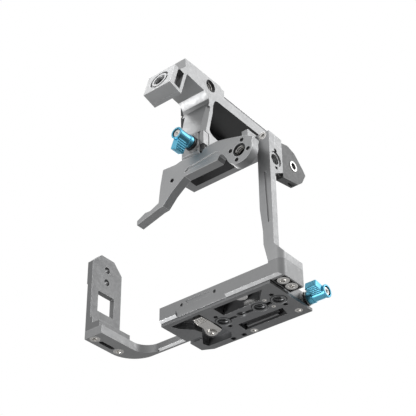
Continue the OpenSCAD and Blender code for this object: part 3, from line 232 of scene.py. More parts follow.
class Materials:
    """Builds and keeps the node materials of the slots, their machined edges and their darker copies with
    painted shade.
    """

    def __init__(self) -> None:
        """Start with no material made."""
        self._made: dict[tuple, bpy.types.Material] = {}

    def get(self, slot: Slot, edge: bool = False, lit_share: float = 1.0,
            shade: PaintedShade | None = None) -> bpy.types.Material:
        """Return a slot's material.

        Args:
            slot: Material slot.
            edge: Whether the machined edge's variant is wanted.
            lit_share: Share of the slot's brightness that is kept, a painted shade on parts that get less
                light.
            shade: Painted shade on the undersides, if any.

        Returns:
            The material, made at its first use.
        """
        key = (slot, edge, lit_share, shade)
        if key not in self._made:
            self._made[key] = self._build(slot, FINISHES[slot], edge, lit_share, shade)
        return self._made[key]

    @staticmethod
    def _noise(nodes: bpy.types.Nodes, links: bpy.types.NodeLinks, vector: bpy.types.NodeSocket,
               scale: float, detail: float, distortion: float = 0.0) -> bpy.types.NodeSocket:
        """Add one noise pattern.

        Args:
            nodes: Nodes of the material.
            links: Links of the material.
            vector: Coordinates of the pattern.
            scale: Scale of the pattern, per metre.
            detail: Number of finer layers.
            distortion: Twist of the pattern.

        Returns:
            The pattern's value.
        """
        noise = nodes.new("ShaderNodeTexNoise")
        noise.inputs["Scale"].default_value = scale
        noise.inputs["Detail"].default_value = detail
        noise.inputs["Distortion"].default_value = distortion
        links.new(vector, noise.inputs["Vector"])
        return noise.outputs["Fac"]

    @staticmethod
    def _ranged(nodes: bpy.types.Nodes, links: bpy.types.NodeLinks, value: bpy.types.NodeSocket,
                source: tuple[float, float],
                target: tuple[float, float] = (0.0, 1.0)) -> bpy.types.NodeSocket:
        """Map a value from one range to another.

        Args:
            nodes: Nodes of the material.
            links: Links of the material.
            value: Value to map.
            source: Range that the value comes from.
            target: Range that it goes to.

        Returns:
            The mapped value.
        """
        ranged = nodes.new("ShaderNodeMapRange")
        ranged.inputs["From Min"].default_value = source[0]
        ranged.inputs["From Max"].default_value = source[1]
        ranged.inputs["To Min"].default_value = target[0]
        ranged.inputs["To Max"].default_value = target[1]
        links.new(value, ranged.inputs["Value"])
        return ranged.outputs["Result"]

    @classmethod
    def _paint_shade(cls, nodes: bpy.types.Nodes, links: bpy.types.NodeLinks, coords: bpy.types.NodeSocket,
                colour: bpy.types.NodeSocket, shade: PaintedShade) -> bpy.types.NodeSocket:
        """Paint shade: multiply a colour down on the faces that look down past a place along Y.

        Args:
            nodes: Nodes of the material.
            links: Links of the material.
            coords: Object coordinates.
            colour: Colour to darken.
            shade: Where and how much.

        Returns:
            The darkened colour.
        """
        place = nodes.new("ShaderNodeSeparateXYZ")
        links.new(coords, place.inputs["Vector"])
        along = cls._ranged(nodes, links, place.outputs["Y"], (shade.start * MM, shade.full * MM))
        geometry = nodes.new("ShaderNodeNewGeometry")
        facing = nodes.new("ShaderNodeSeparateXYZ")
        links.new(geometry.outputs["Normal"], facing.inputs["Vector"])
        down = cls._ranged(nodes, links, facing.outputs["Z"], shade.facing)
        both = nodes.new("ShaderNodeMath")
        both.operation = "MULTIPLY"
        links.new(along, both.inputs[0])
        links.new(down, both.inputs[1])
        darker = nodes.new("ShaderNodeMix")
        darker.data_type = "RGBA"
        darker.blend_type = "MULTIPLY"
        darker.inputs["B"].default_value = (*[shade.factor] * 3, 1.0)
        links.new(both.outputs["Value"], darker.inputs["Factor"])
        links.new(colour, darker.inputs["A"])
        return darker.outputs["Result"]

    @classmethod
    def _build(cls, slot: Slot, finish: Finish, edge: bool, lit_share: float,
               shade: PaintedShade | None) -> bpy.types.Material:
        """Build one material from object-space noise: colour drift, blasted grain and fine scuffs.

        Args:
            slot: Material slot.
            finish: Look of the slot.
            edge: Whether it is the machined edge's variant.
            lit_share: Share of the slot's brightness that is kept, a painted shade on parts that get less
                light.
            shade: Painted shade on the undersides, if any.

        Returns:
            The material.
        """
        material = bpy.data.materials.new(f"{slot.value}_edge" if edge else slot.value)
        material.use_nodes = True
        nodes, links = material.node_tree.nodes, material.node_tree.links
        shader = nodes["Principled BSDF"]
        shader.inputs["Metallic"].default_value = finish.metallic
        coords = nodes.new("ShaderNodeTexCoord").outputs["Object"]
        drift = cls._noise(nodes, links, coords, PATTERN.drift, 3.0)
        grain = cls._noise(nodes, links, coords, 1.0 / (finish.grain_mm * MM), 2.0)
        scuffs = cls._noise(nodes, links, coords, PATTERN.scuffs, 8.0, PATTERN.scuff_twist)

        first, second = (finish.edge, finish.edge) if edge else (finish.base, finish.tint)
        # A share below 1 darkens both colours: painted shade.
        gain = lit_share * (PATTERN.edge_drift if edge else 1.0)
        blend = nodes.new("ShaderNodeMix")
        blend.data_type = "RGBA"
        blend.inputs["A"].default_value = (*[part * lit_share for part in first], 1.0)
        blend.inputs["B"].default_value = (*[min(1.0, part * gain) for part in second], 1.0)
        links.new(cls._ranged(nodes, links, drift, PATTERN.drift_range), blend.inputs["Factor"])
        speck = nodes.new("ShaderNodeMix")
        speck.data_type = "RGBA"
        speck.blend_type = "MULTIPLY"
        speck.inputs["Factor"].default_value = PATTERN.speck_share
        ramp = nodes.new("ShaderNodeValToRGB")
        dark, clear = ramp.color_ramp.elements
        dark.position, clear.position = PATTERN.speck_range
        dark.color = (*[PATTERN.speck_grey] * 3, 1.0)
        clear.color = (1.0, 1.0, 1.0, 1.0)
        links.new(grain, ramp.inputs["Fac"])
        links.new(blend.outputs["Result"], speck.inputs["A"])
        links.new(ramp.outputs["Color"], speck.inputs["B"])
        colour = speck.outputs["Result"]
        # Painted shade on the faces that look down.
        if shade:
            colour = cls._paint_shade(nodes, links, coords, colour, shade)
        links.new(colour, shader.inputs["Base Color"])

        gloss = (finish.edge_rough, finish.edge_rough + PATTERN.edge_spread) if edge else finish.rough
        links.new(cls._ranged(nodes, links, scuffs, PATTERN.scuff_range, gloss), shader.inputs["Roughness"])
        bump = nodes.new("ShaderNodeBump")
        bump.inputs["Strength"].default_value = finish.bump * (PATTERN.edge_relief if edge else 1.0)
        bump.inputs["Distance"].default_value = PATTERN.relief
        links.new(grain, bump.inputs["Height"])
        links.new(bump.outputs["Normal"], shader.inputs["Normal"])
        return material


@dataclass(frozen=True)
class Place:
    """Where a piece that is modelled along +Z sits.

    Attributes:
        base: Base point, in millimetres.
        tilt: Euler turn that brings +Z onto the piece's axis, in degrees.
        turn: Turn about the piece's own axis, in degrees.
    """

    base: tuple[float, float, float]
    tilt: tuple[float, float, float] = (0.0, 0.0, 0.0)
    turn: float = 0.0

    def matrix(self) -> Matrix:
        """Work out the placement.

        Returns:
            The matrix, in metres.
        """
        tilt = Matrix.Identity(4)
        for axis, angle in zip("XYZ", self.tilt):
            tilt = Matrix.Rotation(math.radians(angle), 4, axis) @ tilt
        spin = Matrix.Rotation(math.radians(self.turn), 4, "Z")
        return Matrix.Translation(Vector(self.base) * MM) @ tilt @ spin

    @staticmethod
    def along(base: Sequence[float], axis: Sequence[float]) -> Matrix:
        """Stand +Z on a base point, along an axis.

        Args:
            base: Base point, in millimetres.
            axis: Direction that +Z takes.

        Returns:
            The matrix, in metres.
        """
        turn = Vector(axis).normalized().to_track_quat("Z", "Y").to_matrix().to_4x4()
        return Matrix.Translation(Vector(base) * MM) @ turn


class Workshop:
    """Small modelling steps, each one a bpy operator on a single piece."""

    def __init__(self, materials: Materials) -> None:
        """Keep the materials that pieces are dressed with."""
        self.materials = materials

    @staticmethod
    def select(*pieces: bpy.types.Object) -> None:
        """Select only these pieces and make the first one active.

        Args:
            pieces: Pieces to select.
        """
        bpy.ops.object.select_all(action="DESELECT")
        for piece in pieces:
            piece.select_set(True)
        bpy.context.view_layer.objects.active = pieces[0]

    def bake(self, piece: bpy.types.Object) -> bpy.types.Object:
        """Put a piece's place, turn and scale into its mesh.

        Args:
            piece: Piece to bake.

        Returns:
            The same piece.
        """
        self.select(piece)
        bpy.ops.object.transform_apply(location=True, rotation=True, scale=True)
        return piece

    def move(self, piece: bpy.types.Object, matrix: Matrix) -> bpy.types.Object:
        """Move a piece by a matrix and put the move into its mesh."""
        piece.matrix_world = matrix
        return self.bake(piece)

    def rod(self, radius: float, length: float, at: Sequence[float] = (0, 0, 0), top: float | None = None,
            sides: int = 64) -> bpy.types.Object:
        """Make a rod or cone along +Z from its base point, all in millimetres.

        Args:
            radius: Radius at the base.
            length: Length along +Z.
            at: Base point.
            top: Radius at the top, or None for the same.
            sides: Sides around.

        Returns:
            The piece with its place in the mesh.
        """
        bpy.ops.object.select_all(action="DESELECT")
        bpy.ops.mesh.primitive_cone_add(
            vertices=sides, radius1=radius * MM, radius2=(radius if top is None else top) * MM,
            depth=length * MM, location=(at[0] * MM, at[1] * MM, (at[2] + length / 2) * MM))
        return self.bake(bpy.context.object)

    def block(self, low: Sequence[float], high: Sequence[float]) -> bpy.types.Object:
        """Make a block between two corners.

        Args:
            low: Lowest corner, in millimetres.
            high: Highest corner, in millimetres.

        Returns:
            The piece with its place in the mesh.
        """
        bpy.ops.object.select_all(action="DESELECT")
        centre = [(a + b) / 2 * MM for a, b in zip(low, high)]
        bpy.ops.mesh.primitive_cube_add(size=1.0, location=centre)
        piece = bpy.context.object
        piece.scale = [(b - a) * MM for a, b in zip(low, high)]
        return self.bake(piece)

    def helix(self, radius: float, wire: float, pitch: float, turns: float, sides: int = 8,
              steps: int = 32, width: float = 1.0) -> bpy.types.Object:
        """Wind a closed wire or ridge about +Z, starting at the origin's height, in millimetres.

        Args:
            radius: Radius of the winding's centre line.
            wire: Radius of the wire's section.
            pitch: Rise of one turn.
            turns: Number of turns.
            sides: Sides of the section.
            steps: Steps of one turn.
            width: Stretch of the section along the axis.

        Returns:
            The wound piece.
        """
        bpy.ops.object.select_all(action="DESELECT")
        bpy.ops.mesh.primitive_circle_add(vertices=sides, radius=wire * MM, fill_type="NOTHING",
                                          location=(radius * MM, 0, 0), rotation=(math.radians(90), 0, 0))
        piece = bpy.context.object
        piece.scale = (1.0, width, 1.0)
        self.bake(piece)
        screw = piece.modifiers.new("winding", "SCREW")
        screw.axis = "Z"
        screw.angle = math.tau * turns
        screw.screw_offset = pitch * turns * MM
        screw.steps = round(steps * turns)
        screw.render_steps = screw.steps
        self.apply(piece, screw)
        bpy.ops.object.mode_set(mode="EDIT")
        bpy.ops.mesh.select_all(action="SELECT")
        bpy.ops.mesh.remove_doubles(threshold=FINE_WELD_M)
        bpy.ops.mesh.fill_holes(sides=sides)
        bpy.ops.mesh.select_all(action="SELECT")
        bpy.ops.mesh.normals_make_consistent(inside=False)
        bpy.ops.object.mode_set(mode="OBJECT")
        return piece

    def apply(self, piece: bpy.types.Object, modifier: bpy.types.Modifier) -> None:
        """Apply one modifier."""
        self.select(piece)
        bpy.ops.object.modifier_apply(modifier=modifier.name)

    def combine(self, piece: bpy.types.Object, other: bpy.types.Object, how: Solid) -> bpy.types.Object:
        """Join or cut two solids and drop the second one.

        Args:
            piece: Solid that stays.
            other: Solid that is used up.
            how: Way to combine them.

        Returns:
            The first solid.
        """
        modifier = piece.modifiers.new("solid", "BOOLEAN")
        modifier.operation = how.value
        modifier.solver = "EXACT"
        modifier.object = other
        self.apply(piece, modifier)
        self.select(other)
        bpy.ops.object.delete()
        return piece

    def soften(self, piece: bpy.types.Object, width: float, angle: float = 28.0, segments: int = 2,
               edge_index: int = -1) -> bpy.types.Object:
        """Chamfer the sharp edges of a piece.

        Args:
            piece: Mesh to chamfer.
            width: Width in millimetres.
            angle: Smallest edge angle in degrees.
            segments: Steps across the chamfer.
            edge_index: Material index of the chamfers, or -1 to keep the faces' own.

        Returns:
            The same piece.
        """
        modifier = piece.modifiers.new("edges", "BEVEL")
        modifier.width = width * MM
        modifier.segments = segments
        modifier.limit_method = "ANGLE"
        modifier.angle_limit = math.radians(angle)
        modifier.use_clamp_overlap = True
        modifier.miter_outer = "MITER_ARC"
        modifier.material = edge_index
        self.apply(piece, modifier)
        return piece

    def smooth(self, piece: bpy.types.Object, angle: float = 32.0) -> bpy.types.Object:
        """Shade a piece smooth, with sharp edges kept crisp and large faces kept flat.

        Args:
            piece: Mesh to shade.
            angle: Largest edge angle that is smoothed, in degrees.

        Returns:
            The same piece.
        """
        self.select(piece)
        bpy.ops.object.shade_smooth_by_angle(angle=math.radians(angle))
        normals = piece.modifiers.new("normals", "WEIGHTED_NORMAL")
        normals.mode = "FACE_AREA"
        normals.weight = FACE_WEIGHT
        normals.keep_sharp = True
        self.apply(piece, normals)
        return piece

    def dress(self, piece: bpy.types.Object, name: str, slot: Slot, body: Body,
              replaced: Iterable[str] = ()) -> bpy.types.Object:
        """Name a piece, give it its finish and let it ride on its body.

        Args:
            piece: Finished mesh.
            name: Name of the piece.
            slot: Material slot.
            body: Body that carries it.
            replaced: CAD nodes that it stands for.

        Returns:
            The same piece.
        """
        piece.name = name
        piece.data.name = name
        if not piece.data.materials:
            piece.data.materials.append(self.materials.get(slot))
        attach(piece, body.value)
        for node in replaced:
            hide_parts(node)
        LOG.info("%s rides on %s", name, body.value)
        return piece


@dataclass(frozen=True)
class MachinedPart:
    """A milled or turned part of the cage, shown with chamfered bright edges.

    Attributes:
        node: CAD node that it is cut from.
        body: Body it rides on.
        slot: Material slot.
        width: Chamfer width in millimetres.
        angle: Smallest edge angle that is chamfered, in degrees.
        lit_share: Share of the slot's brightness that is kept, a painted shade on parts that get less
            light.
        shade: Painted shade on the undersides, if any.
    """

    node: str
    body: Body
    slot: Slot
    width: float = 0.35
    angle: float = 24.0
    lit_share: float = 1.0
    shade: PaintedShade | None = None

    def build(self, shop: Workshop, nodes: dict[str, bpy.types.Object]) -> bpy.types.Object:
        """Copy the node's mesh, merge it, chamfer its edges and dress it.

        Args:
            shop: Modelling steps.
            nodes: CAD nodes by name.

        Returns:
            The new piece.
        """
        piece = bpy.data.objects.new(self.node, nodes[self.node].data.copy())
        bpy.context.scene.collection.objects.link(piece)
        piece.data.materials.clear()
        for edge in (False, True):
            piece.data.materials.append(shop.materials.get(self.slot, edge, self.lit_share, self.shade))
        shop.select(piece)
        bpy.ops.object.mode_set(mode="EDIT")
        bpy.ops.mesh.select_all(action="SELECT")
        bpy.ops.mesh.customdata_custom_splitnormals_clear()
        bpy.ops.mesh.remove_doubles(threshold=WELD_M)
        bpy.ops.mesh.mark_sharp(clear=True)
        bpy.ops.mesh.dissolve_limited(angle_limit=math.radians(FLAT_ANGLE))
        bpy.ops.object.mode_set(mode="OBJECT")
        shop.soften(piece, self.width, self.angle, 2, edge_index=1)
        shop.smooth(piece)
        return shop.dress(piece, f"{self.node}_machined", self.slot, self.body, (self.node,))


BASE_PARTS: tuple[MachinedPart, ...] = (
    MachinedPart("bottom_plate", Body.CAGE, Slot.DARK, 0.32),
    # base_frame is drawn at three quarters of its slot's brightness: painted shade.
    MachinedPart("base_frame", Body.CAGE, Slot.GREY, 0.32, lit_share=0.75),
    MachinedPart("latch_lever", Body.LATCH, Slot.STAINLESS, 0.22),
    MachinedPart("foot_screws", Body.CAGE, Slot.STAINLESS, 0.18),
    MachinedPart("side_collar", Body.CAGE, Slot.LIGHT, 0.25),
    MachinedPart("side_lever_screw", Body.SIDE_KNOB, Slot.STAINLESS, 0.15),
)

GRIP_PARTS: tuple[MachinedPart, ...] = (
    # Both grip parts are drawn darker than their slot: painted shade where the left-out camera body would
    # shade them.
    MachinedPart("grip_wing", Body.CAGE, Slot.GREY, 0.55, lit_share=0.78),
    MachinedPart("grip_plate", Body.CAGE, Slot.GREY, 0.45, lit_share=0.5),
    MachinedPart("grip_plate_screws", Body.CAGE, Slot.STAINLESS, 0.2),
)

TOP_PARTS: tuple[MachinedPart, ...] = (
    MachinedPart("port_side_column", Body.CAGE, Slot.GREY, 0.40),
    MachinedPart("column_top_screw", Body.CAGE, Slot.STAINLESS, 0.15),
    # side_wing is drawn at about a third of its slot's brightness: painted shade.
    MachinedPart("side_wing", Body.CAGE, Slot.GREY, 0.9, lit_share=0.32),
    MachinedPart("side_wing_insert", Body.CAGE, Slot.STAINLESS, 0.25),
    MachinedPart("top_frame", Body.CAGE, Slot.GREY, 0.40),
    MachinedPart("top_rail", Body.CAGE, Slot.BLACK, 0.22),
)

HANDLE_PARTS: tuple[MachinedPart, ...] = (
    # Painted shade on the handle's undersides behind its strut.
    MachinedPart("handle_body", Body.HANDLE, Slot.LIGHT, 0.45, shade=PaintedShade(-27.0, -21.0, 0.16)),
    MachinedPart("handle_rail", Body.HANDLE, Slot.BLACK, 0.28),
    MachinedPart("side_cover", Body.HANDLE, Slot.BLACK, 0.35),
    MachinedPart("front_mount", Body.HANDLE, Slot.LIGHT, 0.35),
    # clamp_jaw is drawn a little darker than its slot: painted shade.
    MachinedPart("clamp_jaw", Body.JAW, Slot.LIGHT, 0.40, lit_share=0.8),
    MachinedPart("clamp_collar", Body.JAW, Slot.LIGHT, 0.25),
    MachinedPart("clamp_washers", Body.JAW, Slot.BLACK_STEEL, 0.12),
    MachinedPart("clamp_lever_screw", Body.CLAMP_KNOB, Slot.STAINLESS, 0.15),
)


@dataclass(frozen=True)
class LeverKnob:
    """An anodised lever: flange, barrel, ridged arm and counterbored hub, sizes in millimetres.

    Attributes:
        name: Name of the piece.
        node: CAD node that it stands for.
        body: Body that it rides on.
        place: Where its axis starts.
        seat: Height of its seat above the base point.
        length: Length of the barrel.
        barrel_r: Radius of the barrel.
        flange_r: Radius of the flange at the seat.
        flange_l: Length of the flange.
        arm_low: Start of the arm above the seat.
        arm_l: Length of the arm along the axis.
        reach: Reach of the arm from the axis.
        half: Half of the arm's thickness.
        arm_round: Rounding of the arm's edges.
        grooves: Number of grooves on each broad face.
        groove_step: Distance between the grooves.
        groove_in: Distance of the first groove from the arm's end.
        groove_r: Radius of a groove.
        groove_out: Distance of a groove's axis from the broad face.
        groove_sides: Sides of a groove's cutter.
        edge_round: Rounding of the barrel's ends.
        flange_round: Rounding of the flange.
        lip_l: Length of the lip at the hub.
        lip_in: Step of the lip below the flange's radius.
        lip_round: Rounding of the lip.
        hub_r: Radius of the counterbore.
        hub_depth: Depth of the counterbore.
        sleeve_r: Radius of the bore round the stud.
        sleeve_depth: Depth of that bore.
        bore_r: Radius of the bore between both.
    """

    name: str
    node: str
    body: Body
    place: Place
    seat: float = 4.45
    length: float = 14.0
    barrel_r: float = 4.15
    flange_r: float = 4.7
    flange_l: float = 3.4
    arm_low: float = 3.9
    arm_l: float = 8.6
    reach: float = 11.6
    half: float = 2.7
    arm_round: float = 0.8
    grooves: int = 4
    groove_step: float = 1.75
    groove_in: float = 1.7
    groove_r: float = 0.62
    groove_out: float = 0.12
    groove_sides: int = 24
    edge_round: float = 0.45
    flange_round: float = 0.5
    lip_l: float = 1.6
    lip_in: float = 0.15
    lip_round: float = 0.4
    hub_r: float = 3.35
    hub_depth: float = 2.6
    sleeve_r: float = 2.45
    sleeve_depth: float = 6.6
    bore_r: float = 1.4

    def arm(self, shop: Workshop) -> bpy.types.Object:
        """Model the arm: a rounded block with grooves across both broad faces.

        Args:
            shop: Modelling steps.

        Returns:
            The arm.
        """
        low = self.seat + self.arm_low
        arm = shop.block((0.0, -self.half, low), (self.reach, self.half, low + self.arm_l))
        arm = shop.soften(arm, self.arm_round, ROUND_ANGLE, 3)
        for side in (-1, 1):
            for i in range(self.grooves):
                x = self.reach - self.groove_in - i * self.groove_step
                at = (x, side * (self.half + self.groove_out), low - OVERRUN / 2)
                groove = shop.rod(self.groove_r, self.arm_l + OVERRUN, at, sides=self.groove_sides)
                arm = shop.combine(arm, groove, Solid.CUT)
        return arm

    def barrel(self, shop: Workshop) -> bpy.types.Object:
        """Model the barrel with its flange and lip.

        Args:
            shop: Modelling steps.

        Returns:
            The barrel.
        """
        lip_z = self.seat + self.length - self.lip_l
        barrel = shop.soften(shop.rod(self.barrel_r, self.length, (0, 0, self.seat)), self.edge_round,
                             ROUND_ANGLE, 3)
        flange = shop.soften(shop.rod(self.flange_r, self.flange_l, (0, 0, self.seat)), self.flange_round,
                             ROUND_ANGLE, 3)
        lip = shop.soften(shop.rod(self.flange_r - self.lip_in, self.lip_l, (0, 0, lip_z)), self.lip_round,
                          ROUND_ANGLE, 3)
        barrel = shop.combine(barrel, flange, Solid.UNION)
        return shop.combine(barrel, lip, Solid.UNION)

    def bores(self, shop: Workshop) -> tuple[bpy.types.Object, ...]:
        """Model the cutters of the counterbore, the stud's bore and the bore between them.

        Args:
            shop: Modelling steps.

        Returns:
            The cutters.
        """
        hub_z = self.seat + self.length - self.hub_depth
        return (
            shop.rod(self.hub_r, self.hub_depth + OVERRUN, (0, 0, hub_z)),
            shop.rod(self.sleeve_r, self.sleeve_depth + OVERRUN, (0, 0, self.seat - OVERRUN)),
            shop.rod(self.bore_r, self.length, (0, 0, self.seat)),
        )

    def build(self, shop: Workshop) -> bpy.types.Object:
        """Model the lever in its place.

        Args:
            shop: Modelling steps.

        Returns:
            The new piece.
        """
        lever = shop.combine(self.barrel(shop), self.arm(shop), Solid.UNION)
        for cutter in self.bores(shop):
            lever = shop.combine(lever, cutter, Solid.CUT)
        shop.move(lever, self.place.matrix())
        shop.smooth(lever, SMOOTH_ANGLE)
        return shop.dress(lever, self.name, Slot.BLUE, self.body, (self.node,))


KNOBS: tuple[LeverKnob, ...] = (
    LeverKnob("side_lever_grip", "side_lever", Body.SIDE_KNOB,
              Place((49.9, 22.0, 7.8), (0, 90, 0), -98.0)),
    LeverKnob("clamp_lever_grip", "clamp_lever", Body.CLAMP_KNOB,
              Place((5.3, -36.8, 121.5), (90, 0, 0), -111.0)),
)


@dataclass(frozen=True)
class CoilSpring:
    """A coil spring wound from wire, in the place of its CAD node.

    Attributes:
        node: CAD node that it stands for.
        axis: Direction of the spring.
        wire: Radius of the wire, in millimetres.
        turns: Number of turns.
        joint: Joint of the object that presses the spring towards its far end, or an empty text; such a
            spring only gets a mesh of its own and is not squashed here.
        travel: Travel of that joint, in millimetres. Not used.
        slack: Gap between the winding and its node's outline, in millimetres.
        smooth_angle: Largest edge angle that is shaded smooth, in degrees.
        body: Body it rides on.
    """

    node: str
    axis: tuple[float, float, float]
    wire: float
    turns: float
    joint: str = ""
    travel: float = 0.0
    slack: float = 0.02
    smooth_angle: float = 50.0
    body: Body = Body.HANDLE

    def build(self, shop: Workshop) -> bpy.types.Object:
        """Wind the spring inside its node's box.

        Args:
            shop: Modelling steps.

        Returns:
            The new piece.
        """
        low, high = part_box(self.node)
        size = (high - low) / MM
        axis = Vector(self.axis)
        along = size.dot(axis)
        across = (size - axis * along).length / math.sqrt(2)
        radius = across / 2 - self.wire - self.slack
        piece = shop.helix(radius, self.wire, (along - 2 * self.wire) / self.turns, self.turns)
        base = (low + high) / 2 / MM - axis * (along / 2 - self.wire)
        shop.move(piece, Place.along(base, axis))
        shop.smooth(piece, self.smooth_angle)
        shop.dress(piece, f"{self.node}_coil", Slot.STAINLESS, self.body, (self.node,))
        if self.joint:
            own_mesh(piece)
        return piece


SPRINGS: tuple[CoilSpring, ...] = (
    CoilSpring("clamp_spring", (0, 1, 0), 0.3, 4),
    CoilSpring("safety_spring", (0, 0, 1), 0.25, 6, "pin_slide", 1.8),
)

# Lean of the front mount's bore from the horizontal
MOUNT_LEAN = math.radians(15.7)
# Distance between the holes of the plate's line, in millimetres
HOLE_STEP = 15.0
# Wall radius and pitch of the large (16 threads per inch) and small (20) camera threads, in millimetres
LARGE_R, LARGE_PITCH = 3.97, 25.4 / 16
SMALL_R, SMALL_PITCH = 2.55, 25.4 / 20


@dataclass(frozen=True)
class ThreadRidge:
    """The ridge of a thread that lines a bore.

    Attributes:
        name: Name of the piece.
        mouth: Centre of the bore's mouth, in millimetres.
        inward: Direction into the bore.
        radius: Wall radius of the bore.
        depth: Depth that the ridge covers.
        pitch: Thread pitch.
        slot: Material slot.
        body: Body it rides on.
        height: Height of the ridge.
        width_share: Half of the ridge's width as a share of the pitch.
        lead_share: Start of the ridge inside the mouth as a share of the pitch.
        least_turns: Smallest number of turns.
        smooth_angle: Largest edge angle that is shaded smooth, in degrees.
    """

    name: str
    mouth: tuple[float, float, float]
    inward: tuple[float, float, float]
    radius: float
    depth: float
    pitch: float
    slot: Slot
    body: Body
    height: float = 0.36
    width_share: float = 0.36
    lead_share: float = 0.55
    least_turns: float = 2.0
    smooth_angle: float = 30.0

    def build(self, shop: Workshop) -> bpy.types.Object:
        """Wind the ridge on the bore's wall.

        Args:
            shop: Modelling steps.

        Returns:
            The new piece.
        """
        wide = self.width_share * self.pitch / self.height
        turns = max(self.least_turns, (self.depth - self.pitch) / self.pitch)
        piece = shop.helix(self.radius, self.height, self.pitch, turns, 4, 40, wide)
        inward = Vector(self.inward).normalized()
        base = Vector(self.mouth) + inward * self.pitch * self.lead_share
        shop.move(piece, Place.along(base, inward))
        shop.smooth(piece, self.smooth_angle)
        return shop.dress(piece, self.name, self.slot, self.body)


PLATE_THREADS: tuple[ThreadRidge, ...] = (
    ThreadRidge("thread_main", (0, 0, 0), (0, 0, 1), LARGE_R, 8.0, LARGE_PITCH, Slot.DARK, Body.CAGE),
    ThreadRidge("thread_second", (2 * HOLE_STEP, 0, 0), (0, 0, 1), LARGE_R, 8.0, LARGE_PITCH, Slot.DARK,
                Body.CAGE),
    ThreadRidge("thread_third", (3 * HOLE_STEP, 0, 0), (0, 0, 1), LARGE_R, 8.0, LARGE_PITCH, Slot.DARK,
                Body.CAGE),
    ThreadRidge("thread_quarter", (HOLE_STEP, 0, 0.9), (0, 0, 1), SMALL_R, 7.1, SMALL_PITCH, Slot.DARK,
                Body.CAGE),
)

CAGE_THREADS: tuple[ThreadRidge, ...] = (
    ThreadRidge("thread_side", (58.3, -15.6, 96.2), (-1, 0, 0), LARGE_R, 9.1, LARGE_PITCH, Slot.DARK,
                Body.CAGE),
    ThreadRidge("thread_front", (45.8, -37.6, 97.1), (0, 1, 0), LARGE_R, 5.5, LARGE_PITCH, Slot.STAINLESS,
                Body.CAGE),
    ThreadRidge("thread_wing", (59.7, 4.7, 101.4), (-1, 0, 0), SMALL_R, 6.5, SMALL_PITCH, Slot.BLACK_STEEL,
                Body.CAGE),
)

HANDLE_THREADS: tuple[ThreadRidge, ...] = (
    ThreadRidge("thread_handle", (13.1, -27.6, 176.5), (-1, 0, 0), LARGE_R, 6.1, LARGE_PITCH,
                Slot.STAINLESS, Body.HANDLE),
    ThreadRidge("thread_mount", (2.0, -69.128, 160.683), (0, math.cos(MOUNT_LEAN), -math.sin(MOUNT_LEAN)),
                LARGE_R, 9.0, LARGE_PITCH, Slot.DARK, Body.HANDLE),
)


@dataclass(frozen=True)
class FootCheek:
    """The handle foot's wall beside the clamp's jaw, and the black stop under it.

    Attributes:
        left: X of the face beside the jaw, in millimetres.
        right: X of the outer face.
        front: Y of the front face.
        back: Y of the face on the foot.
        top: Height of the top.
        seam: Height of the seam between the wall and the stop.
        bottom: Height of the stop's underside.
        gap: Gap at the seam.
        wall_round: Rounding of the wall's edges.
        stop_round: Rounding of the stop's edges.
    """

    left: float = 10.35
    right: float = 13.95
    front: float = -36.6
    back: float = -30.35
    top: float = 131.2
    seam: float = 119.5
    bottom: float = 113.9
    gap: float = 0.3
    wall_round: float = 0.7
    stop_round: float = 1.2

    def build(self, shop: Workshop) -> bpy.types.Object:
        """Model the wall and the stop, and dress both.

        Args:
            shop: Modelling steps.

        Returns:
            The stop.
        """
        wall = shop.block((self.left, self.front, self.seam + self.gap), (self.right, self.back, self.top))
        shop.smooth(shop.soften(wall, self.wall_round, ROUND_ANGLE, 2), SMOOTH_ANGLE)
        shop.dress(wall, "foot_cheek", Slot.LIGHT, Body.HANDLE)
        stop = shop.block((self.left, self.front, self.bottom), (self.right, self.back, self.seam))
        shop.smooth(shop.soften(stop, self.stop_round, ROUND_ANGLE, 3), SMOOTH_ANGLE)
        return shop.dress(stop, "foot_stop", Slot.NYLON, Body.HANDLE)


@dataclass(frozen=True)
class Lamp:
    """One soft studio light.

    Attributes:
        name: Name of the light.
        at: Place in metres.
        size: Width of its square face in metres.
        watts: Power.
    """

    name: str
    at: tuple[float, float, float]
    size: float
    watts: float


